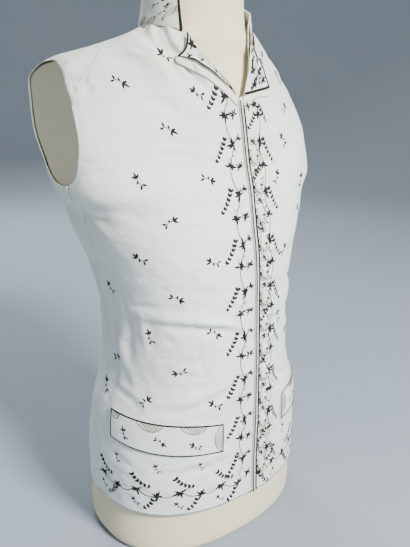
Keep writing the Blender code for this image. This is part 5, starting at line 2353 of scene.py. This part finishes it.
# Noises have a scale, a detail and at times a roughness; spans are stretched to go from 0 to 1.
SLUB_SCALES = (60, 900)  # along a thread and across it
THREAD_HEIGHT, SLUB_HEIGHT = 0.35, 1.4
SLUB_SPAN, SLUB_TINT = (0.30, 0.70), (0.93, 0.93, 0.92, 1)
UPPER_SHADE_AND_YELLOWING = (0.50, 0.78)  # heights in m over which the cloth turns darker and yellower towards the top: partly painted shade, partly yellowing with age
STAIN_NOISE, STAIN_SPAN = (9.0, 5.0, 0.6), (0.52, 0.78)
PATCHY_NOISE, PATCHY_SPAN, PATCHY_SHARE = (3.2, 2.0), (0.3, 0.7), 0.45
FINE_CRUMPLES, BROAD_CRUMPLES, FINE_SHARE = (55, 55, 90), (18, 18, 34), 0.4
SILK_SLANT, SILK_THREAD, SILK_NOISE = 0.55, 0.00034, (4000.0, 1.0)
WORN_NOISE, WORN_SHARES = (260.0, 2.0), (0.6, 0.5)  # the shares of the tone and of the noise
THREAD_STRENGTH, RIDGE_STRENGTH = 0.8, 0.7
CLOTH_GLOSS = {"Sheen Weight": 0.05, "Sheen Roughness": 0.6, "Specular IOR Level": 0.25}
SILK_GLOSS = 0.2
FLOOR_NOISE, FLOOR_ROUGHNESS = (1.3, 3.0), 0.8


def weave_group() -> Tree:
    """Plain weave with slubs: from a place in the cloth and a pitch to height and slub.

    Returns:
        The group.
    """
    bench, given, out = new_group(
        "plain weave", [("Place", VECTOR), ("Pitch", VALUE)], [("Height", VALUE), ("Slub", VALUE)]
    )
    place, pitch = given.outputs[0], given.outputs[1]
    parts = bench.add("SeparateXYZ", {0: place}).outputs
    turn = bench.math("DIVIDE", math.tau, pitch)
    warp = bench.math("SINE", bench.math("MULTIPLY", parts[0], turn))
    weft = bench.math("SINE", bench.math("MULTIPLY", parts[1], turn))
    threads = bench.math("MULTIPLY", warp, weft)
    slub_across = bench.noise(bench.scaled(place, (*SLUB_SCALES, 1)), 1.0, 2.0)
    slub_up = bench.noise(bench.scaled(place, (*SLUB_SCALES[::-1], 1)), 1.0, 2.0)
    slub = bench.math("MULTIPLY", bench.math("ADD", slub_across, slub_up), 0.5)
    fine, coarse = bench.math("MULTIPLY", threads, THREAD_HEIGHT), bench.math("MULTIPLY", slub, SLUB_HEIGHT)
    height = bench.math("ADD", fine, coarse)
    bench.feed(out, {"Height": height, "Slub": slub})
    return bench.tree


def age_group() -> Tree:
    """Age of old cloth: from a place in space to a soft stain, a fade (random patches, plus painted shade
    with some yellowing that darkens the cloth towards the top) and fine crumples.

    Returns:
        The group.
    """
    bench, given, out = new_group(
        "age", [("Place", VECTOR)], [("Stain", VALUE), ("Fade", VALUE), ("Crumple", VALUE)]
    )
    place = given.outputs[0]
    stain = bench.span(bench.noise(place, *STAIN_NOISE), *STAIN_SPAN)
    level = bench.add("SeparateXYZ", {0: place}).outputs[2]
    patchy = bench.span(bench.noise(place, *PATCHY_NOISE), *PATCHY_SPAN)
    patches = bench.math("MULTIPLY", patchy, PATCHY_SHARE)
    # Painted shade with some yellowing: the cloth darkens towards the top, added to random patches.
    fade = bench.math("ADD", patches, bench.span(level, *UPPER_SHADE_AND_YELLOWING), True)
    fine = bench.noise(bench.scaled(place, FINE_CRUMPLES), 1.0, 3.0, 0.5)
    broad = bench.noise(bench.scaled(place, BROAD_CRUMPLES), 1.0, 2.0, 0.5)
    crumple = bench.math("ADD", bench.math("MULTIPLY", fine, FINE_SHARE), broad)
    bench.feed(out, {"Stain": stain, "Fade": fade, "Crumple": crumple})
    return bench.tree


def silk_group() -> Tree:
    """Satin stitch: from a place in the stitch to the ridges of its threads.

    Returns:
        The group.
    """
    bench, given, out = new_group("silk", [("Place", VECTOR)], [("Ridges", VALUE)])
    parts = bench.add("SeparateXYZ", {0: given.outputs[0]}).outputs
    slant = bench.math("ADD", bench.math("MULTIPLY", parts[0], SILK_SLANT), parts[1])
    ridges = bench.math("SINE", bench.math("MULTIPLY", slant, math.tau / SILK_THREAD))
    rough = bench.noise(given.outputs[0], *SILK_NOISE)
    bench.feed(out, {"Ridges": bench.math("ADD", ridges, rough)})
    return bench.tree


def start_material(name: str) -> tuple[Material, Bench, Node]:
    """Starts a material.

    Args:
        name: Its name.

    Returns:
        The material, its bench and its shader.
    """
    made = bpy.data.materials.new(name)
    made.use_nodes = True
    return made, Bench(made.node_tree), made.node_tree.nodes["Principled BSDF"]


@dataclass(frozen=True)
class Effects:
    """The node groups that the finishes share."""

    weave: Tree
    age: Tree
    silk: Tree


@dataclass(frozen=True)
class ClothFinish:
    """A woven cloth: its colours (the faded one also paints shade towards the top), its stains, its weave and
    how deep its crumples are.
    """

    name: str
    colour: tuple
    faded: tuple
    stain: tuple
    stained: float
    pitch: float
    crumple: float
    weave: float = 0.00012
    roughness: float = 0.86

    def make(self, effects: Effects) -> Material:
        """Makes the material from the shared effects.

        Args:
            effects: The shared effects.

        Returns:
            The material.
        """
        made, bench, shader = start_material(self.name)
        places = bench.add("TexCoord").outputs
        woven = {"Place": places["UV"], "Pitch": self.pitch}
        weave = bench.add("Group", woven, node_tree=effects.weave)
        age = bench.add("Group", {"Place": places["Object"]}, node_tree=effects.age)
        # The faded colour comes in with the fade: random patches, and painted shade with some yellowing
        # towards the top.
        colour = bench.blend(age.outputs["Fade"], (*self.colour, 1), (*self.faded, 1))
        share = bench.math("MULTIPLY", age.outputs["Stain"], self.stained)
        colour = bench.blend(share, colour, (*self.stain, 1))
        slub = bench.span(weave.outputs["Slub"], *SLUB_SPAN)
        tint = bench.blend(slub, SLUB_TINT, (1, 1, 1, 1))
        colour = bench.blend(1.0, colour, tint, "MULTIPLY")
        crumple = bench.bump(age.outputs["Crumple"], self.crumple, 1.0)
        threads = bench.bump(weave.outputs["Height"], self.weave, THREAD_STRENGTH, {"Normal": crumple})
        bench.feed(shader, {"Base Color": colour, "Normal": threads, "Roughness": self.roughness})
        bench.feed(shader, CLOTH_GLOSS)
        return made


@dataclass(frozen=True)
class SilkFinish:
    """An embroidery silk: its colour, its worn colour and its gloss."""

    name: str
    colour: tuple
    worn: tuple
    roughness: float
    ridge: float = 0.00007

    def make(self, effects: Effects) -> Material:
        """Makes the material from the shared effects.

        Args:
            effects: The shared effects.

        Returns:
            The material.
        """
        made, bench, shader = start_material(self.name)
        places = bench.add("TexCoord").outputs
        silk = bench.add("Group", {"Place": places["UV"]}, node_tree=effects.silk)
        tone = bench.add("Attribute", attribute_name="tone").outputs["Fac"]
        patchy = bench.noise(places["Object"], *WORN_NOISE)
        worn = bench.math("MULTIPLY", tone, WORN_SHARES[0])
        patches = bench.math("MULTIPLY", patchy, WORN_SHARES[1])
        share = bench.math("ADD", worn, patches, True)
        colour = bench.blend(share, (*self.colour, 1), (*self.worn, 1))
        ridges = bench.bump(silk.outputs["Ridges"], self.ridge, RIDGE_STRENGTH)
        bench.feed(shader, {"Base Color": colour, "Normal": ridges})
        bench.feed(shader, {"Roughness": self.roughness, "Specular IOR Level": SILK_GLOSS})
        return made


# Each cloth's second colour is its faded one, which also paints shade on the upper part of the piece.
LINEN = ClothFinish(
    "white linen", (0.79, 0.85, 0.82), (0.64, 0.67, 0.58), (0.66, 0.60, 0.46), 0.36, 0.00055, 0.0038
)
CREAM = ClothFinish(
    "cream tape", (0.77, 0.755, 0.68), (0.70, 0.675, 0.58), (0.56, 0.48, 0.35), 0.35, 0.0006, 0.0004
)
WELT_LINEN = ClothFinish(
    "welt linen", (0.78, 0.825, 0.785), (0.72, 0.755, 0.70), (0.62, 0.54, 0.40), 0.30, 0.00055, 0.0006
)
CANVAS = ClothFinish(
    "form canvas", (0.77, 0.69, 0.49), (0.71, 0.63, 0.44), (0.54, 0.45, 0.31), 0.25, 0.0009, 0.0003
)
COVERED = ClothFinish(
    "button linen", (0.77, 0.75, 0.68), (0.68, 0.64, 0.55), (0.50, 0.41, 0.29), 0.5, 0.0005, 0.0003
)
DARK_SILK = SilkFinish("dark silk", (0.003, 0.003, 0.004), (0.013, 0.012, 0.012), 0.6)
TAN_SILK = SilkFinish("tan silk", (0.075, 0.050, 0.022), (0.16, 0.115, 0.060), 0.6)


@dataclass(frozen=True)
class FloorFinish:
    """The plain pale floor."""

    colour: tuple = (0.26, 0.30, 0.345)
    shade: tuple = (0.235, 0.275, 0.32)

    def make(self) -> Material:
        """Makes the material.

        Returns:
            The material.
        """
        made, bench, shader = start_material("pale floor")
        place = bench.add("TexCoord").outputs["Object"]
        share = bench.noise(place, *FLOOR_NOISE)
        colour = bench.blend(share, (*self.shade, 1), (*self.colour, 1))
        bench.feed(shader, {"Base Color": colour, "Roughness": FLOOR_ROUGHNESS})
        return made


# ---------------------------------------------------------------- the whole costume
class Cut(NamedTuple):
    """The flat cut of a piece of cloth: its width, its length and its area."""

    width: float
    length: float
    area: float


# Measured on the built cloth, one side of the shell: the widest level row and the middle column of
# the fronts and the back, and the flattened or unrolled box of the small pieces.
FRONT_CUTS = {Side.RIGHT: Cut(0.304, 0.660, 0.1620), Side.LEFT: Cut(0.264, 0.644, 0.1385)}
BACK_CUT = Cut(0.548, 0.646, 0.2695)
COLLAR_CUT = Cut(0.353, 0.103, 0.0134)
WELT_CUT = Cut(0.162, 0.047, 0.0073)
LAPEL_CUTS = {Side.RIGHT: Cut(0.096, 0.028, 0.0010), Side.LEFT: Cut(0.064, 0.054, 0.0023)}


@dataclass
class Waistcoat:
    """The waistcoat: its cloth pieces, its buttons and its embroidery."""

    effects: Effects

    def __post_init__(self) -> None:
        """Makes the finishes and the list of what goes with each sheet."""
        self.linen, self.cream = LINEN.make(self.effects), CREAM.make(self.effects)
        self.welt_linen, self.covered = WELT_LINEN.make(self.effects), COVERED.make(self.effects)
        self.silks = [DARK_SILK.make(self.effects), TAN_SILK.make(self.effects)]
        self.sewn: dict[str, list[Piece]] = {}

    def keep(self, sheet: str, piece: Piece) -> Piece:
        """Notes that a piece is sewn to a sheet."""
        self.sewn.setdefault(sheet, []).append(piece)
        return piece

    def build(self, form: Piece) -> None:
        """Args:
            form: What it is worn on.
        """
        fronts, lapels, welts = {}, {}, {}
        for side in Side:
            fronts[side] = FrontPanel(side)
            front = fronts[side].build(self.linen)
            self.sew_front(side)
            welts[side] = Welt(side)
            welt = welts[side].build(self.welt_linen)
            self.sew_welt(welts[side])
            lapels[side] = Lapel(side)
            lapel = lapels[side].build(self.linen)
            self.keep(lapel.name, lapels[side].build_band(self.cream))
            self.sew_lapel(lapels[side])
            if side is Side.LEFT:
                band = FrontBand()
                self.keep(front.name, band.build(self.cream))
                self.keep(front.name, band.sew(self.silks))
                for number in range(1, BUTTON_COUNT + 1):
                    self.keep(front.name, Button(number).build(self.covered, self.silks))
            self.declare(front, FRONT_CUTS[side], Hold.DRAPED, form)
            self.declare(welt, WELT_CUT, Hold.LAID, front)
            self.declare(lapel, LAPEL_CUTS[side], Hold.FOLDED, front)
        back_panel = BackPanel()
        back = back_panel.build(self.linen)
        collar = Collar()
        neck = collar.build(self.linen)
        self.sew_collar(collar)
        self.declare(back, BACK_CUT, Hold.DRAPED, form)
        self.declare(neck, COLLAR_CUT, Hold.STRETCHED, back)

    def declare(self, piece: Piece, cut: Cut, hold: Hold, under: Piece) -> None:
        """Reads a sheet's cut and what is sewn to it, and does nothing further with them."""
        flat, sewn = (cut.width, cut.length), self.sewn.get(piece.name, [])
        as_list(sewn)

    def sew_front(self, side: Side) -> None:
        """Embroiders one front.

        Args:
            side: Which front.
        """
        on = Stitcher(
            f"{side.word}_front_embroidery", FrontGround(side), FRONT_SEED + side.value, side is Side.RIGHT
        )
        for spot in SPRIGS[side]:
            SPRIG.sew(on, spot.u, spot.v, spot.angle)
        (RightBorder() if side is Side.RIGHT else LeftBorder()).sew(on)
        HemBorder().sew(on)
        for mend in SHOULDER_MENDS:
            on.dashes(curve(mend, 4), MEND_DASHES, Thread.TAN)
        self.keep(f"{side.word}_front_cloth", on.make(self.silks))

    def sew_welt(self, welt: Welt) -> None:
        """Embroiders one pocket welt.

        Args:
            welt: The welt.
        """
        ground = GridGround(welt.outer, float(welt.side.value))
        on = Stitcher(
            f"{welt.side.word}_welt_embroidery", ground, WELT_SEED + welt.side.value, welt.side is Side.RIGHT
        )
        length, width = float(ground.row_lengths.mean()) / MM, ground.width / MM
        edge = WELT_LINE_INSET
        corners = [(edge, edge), (length - edge, edge), (length - edge, width - edge), (edge, width - edge)]
        for first, second in zip(corners, corners[1:] + corners[:1]):
            # The top line is thicker: a dark edge line plus painted shadow of the open top edge.
            thick = WELT_TOP_LINE_AND_SHADOW if min(first[1], second[1]) > width / 2 else WELT_LINE
            on.line(np.linspace(first, second, 30) * MM, thick)
        top, end = width - WELT_SCALLOP_INSET, WELT_END_INSET
        for first, last, drop in WELT_SCALLOPS:
            scallop(on, (length * first, top), (length * last, top), drop)
        scallop(on, (end, end), (end, width - end), WELT_END_DROP)
        for share, level, angle in WELT_SPRIGS:
            SPRIG.sew(on, length * share, width * level, angle, WELT_SPRIG_SCALE)
        self.keep(f"{welt.side.word}_pocket_welt_cloth", on.make(self.silks))

    def sew_lapel(self, lapel: Lapel) -> None:
        """Embroiders one lapel: its dark edge, tufts, thin curls and, on the left, combs.

        Args:
            lapel: The lapel.
        """
        ground = GridGround(lapel.outer, -float(lapel.side.value))
        name = f"{lapel.side.word}_lapel_embroidery"
        on = Stitcher(name, ground, LAPEL_SEED + lapel.side.value, lapel.side is Side.LEFT)
        inset = LAPEL_LINE * MM / 2
        down = np.linspace(inset, ground.width - inset, 50)
        on.line(joined(ground.span(down) - inset, down), LAPEL_LINE)
        end = inset if lapel.side is Side.RIGHT else ground.width - inset
        across = np.linspace(0.0, float(ground.span(end)) - inset, 16)
        on.line(joined(across, end), LAPEL_LINE)
        for share, depth, angle, scale in LAPEL_TUFTS[lapel.side]:
            CLUSTER.sew(on, *ground.spot(share, depth), angle, scale)
        for share in LAPEL_CURLS:
            for depth, above, flip, scale in LAPEL_CURL_PAIR:
                u, v = ground.spot(share, depth)
                tendril(on, u, v + above, flip, scale)
        for start, end in LAPEL_COMBS.get(lapel.side, []):
            COMB.sew(on, ground.spot(*start), ground.spot(*end), LAPEL_COMB_BOW)
        self.keep(f"{lapel.side.word}_lapel_cloth", on.make(self.silks))

    def sew_collar(self, collar: Collar) -> None:
        """Embroiders the collar's front ends.

        Args:
            collar: The collar.
        """
        ground = GridGround(collar.outer, 1.0)
        on = Stitcher("collar_embroidery", ground, COLLAR_SEED, False)
        long, wide = float(ground.row_lengths.mean()) / MM, ground.width / MM
        up = np.linspace(COLLAR_LINE_END, ground.width - COLLAR_LINE_END, 16)
        on.line(joined(COLLAR_LINE_INSET, up), COLLAR_LINE)
        on.line(joined(ground.span(up) - COLLAR_LINE_INSET, up), COLLAR_LINE)
        inset, low, drop = COLLAR_END_SCALLOP
        scallop(on, (inset, low), (inset, wide - low), drop)
        scallop(on, (long - inset, wide - low), (long - inset, low), drop)
        reach, up, drop = COLLAR_FOOT_SCALLOP
        for start in COLLAR_FOOT_STARTS:
            start %= long
            scallop(on, (start + reach, up), (start, up), drop)
        for u, v, angle in COLLAR_SPRIGS:
            SPRIG.sew(on, u % long, v, angle, COLLAR_SPRIG_SCALE)
        self.keep("stand_collar_cloth", on.make(self.silks))


class SoftLight(NamedTuple):
    """A soft area light: its name, place, size, power and colour."""

    name: str
    place: tuple
    wide: float
    tall: float
    power: float
    colour: tuple


SOFT_LIGHTS = [
    SoftLight("window light", (0.12, -2.00, 1.80), 0.6, 0.6, 185.0, (1.0, 1.0, 0.975)),
    SoftLight("fill light", (-2.2, -1.0, 0.9), 1.6, 1.6, 14.0, (0.90, 0.96, 1.0)),
    SoftLight("top light", (0.2, 0.6, 2.6), 1.6, 1.6, 14.0, (0.94, 0.98, 1.0)),
    SoftLight("back light", (0.6, 2.3, 1.7), 1.2, 1.2, 62.0, (0.94, 0.97, 1.0)),
]


WORLD_COLOUR = (0.52, 0.58, 0.68, 1.0)
WORLD_STRENGTH = 0.40
LIGHTS_AIM = (0.0, 0.0, 0.42)
FLOOR_RADIUS = 2.6
FLOOR_BEND = 1.6
FLOOR_SIDES = 128
FLOOR_BEND_STEPS = 14
FLOOR_MIDDLE = 0.02 * FLOOR_RADIUS
WALL_TOP = 3.6
CAMERA_PLACE = (-0.5117, -0.6662, 0.6357)
CAMERA_WAY = (0.5961, 0.7414, -0.3081)
CAMERA_ROLL = -0.12
CAMERA_LENS = 40.7
SENSOR_WIDTH = 36.0


@dataclass
class Studio:
    """The pale floor, the soft lights and the camera."""

    def build(self) -> None:
        """Builds the floor, the lights, the world and the camera."""
        self.build_floor()
        for light in SOFT_LIGHTS:
            self.add_light(light)
        world = bpy.data.worlds.new("pale room")
        world.use_nodes = True
        back = world.node_tree.nodes["Background"]
        back.inputs["Color"].default_value = WORLD_COLOUR
        back.inputs["Strength"].default_value = WORLD_STRENGTH
        bpy.context.scene.world = world
        self.add_camera()

    def build_floor(self) -> None:
        """Builds the floor, which rises softly into a round wall."""
        turns = np.linspace(0.0, math.tau, FLOOR_SIDES, endpoint=False)
        bend = np.linspace(0.0, math.pi / 2, FLOOR_BEND_STEPS)
        radii = [FLOOR_MIDDLE, *(FLOOR_RADIUS + FLOOR_BEND * np.sin(bend)), FLOOR_RADIUS + FLOOR_BEND]
        heights = [0.0, *(FLOOR_BEND * (1 - np.cos(bend))), WALL_TOP]
        bm = bmesh.new()
        loops = []
        for radius, height in zip(radii, heights):
            ring = [(radius * math.cos(t), radius * math.sin(t), height) for t in turns]
            loops.append([bm.verts.new(point) for point in ring])
        for low, high in zip(loops, loops[1:]):
            for k in range(FLOOR_SIDES):
                m = (k + 1) % FLOOR_SIDES
                bm.faces.new((low[k], low[m], high[m], high[k])).smooth = True
        bm.faces.new(loops[0])
        mesh = bpy.data.meshes.new("floor")
        bm.to_mesh(mesh)
        bm.free()
        mesh.materials.append(FloorFinish().make())
        floor = bpy.data.objects.new("floor", mesh)
        bpy.context.scene.collection.objects.link(floor)

    def add_light(self, light: SoftLight) -> None:
        """Adds a soft light that looks at the waistcoat.

        Args:
            light: The light.
        """
        lamp = bpy.data.lights.new(light.name, "AREA")
        lamp.shape, lamp.size, lamp.size_y = "RECTANGLE", light.wide, light.tall
        lamp.energy, lamp.color = light.power, light.colour
        made = bpy.data.objects.new(light.name, lamp)
        made.location = light.place
        aim = Vector(LIGHTS_AIM) - Vector(light.place)
        made.rotation_euler = aim.to_track_quat("-Z", "Y").to_euler()
        bpy.context.scene.collection.objects.link(made)

    def add_camera(self) -> None:
        """Adds the camera, a little above the chest and to the wearer's right."""
        lens = bpy.data.cameras.new("camera")
        lens.lens, lens.sensor_width = CAMERA_LENS, SENSOR_WIDTH
        made = bpy.data.objects.new("camera", lens)
        forward = Vector(CAMERA_WAY).normalized()
        right = forward.cross(Vector((0, 0, 1))).normalized()
        up = right.cross(forward)
        turn = Matrix((right, up, -forward)).transposed().to_4x4()
        made.matrix_world = Matrix.Translation(CAMERA_PLACE) @ turn
        made.rotation_euler.rotate_axis("Z", math.radians(CAMERA_ROLL))
        bpy.context.scene.collection.objects.link(made)
        bpy.context.scene.camera = made


def main() -> None:
    """Builds the dress form, the waistcoat and the studio."""
    logging.basicConfig(level=logging.INFO, format="%(name)s %(message)s")
    effects = Effects(weave_group(), age_group(), silk_group())
    form = DressForm().build(CANVAS.make(effects))
    Waistcoat(effects).build(form)
    Studio().build()


if __name__ == "__main__":
    main()
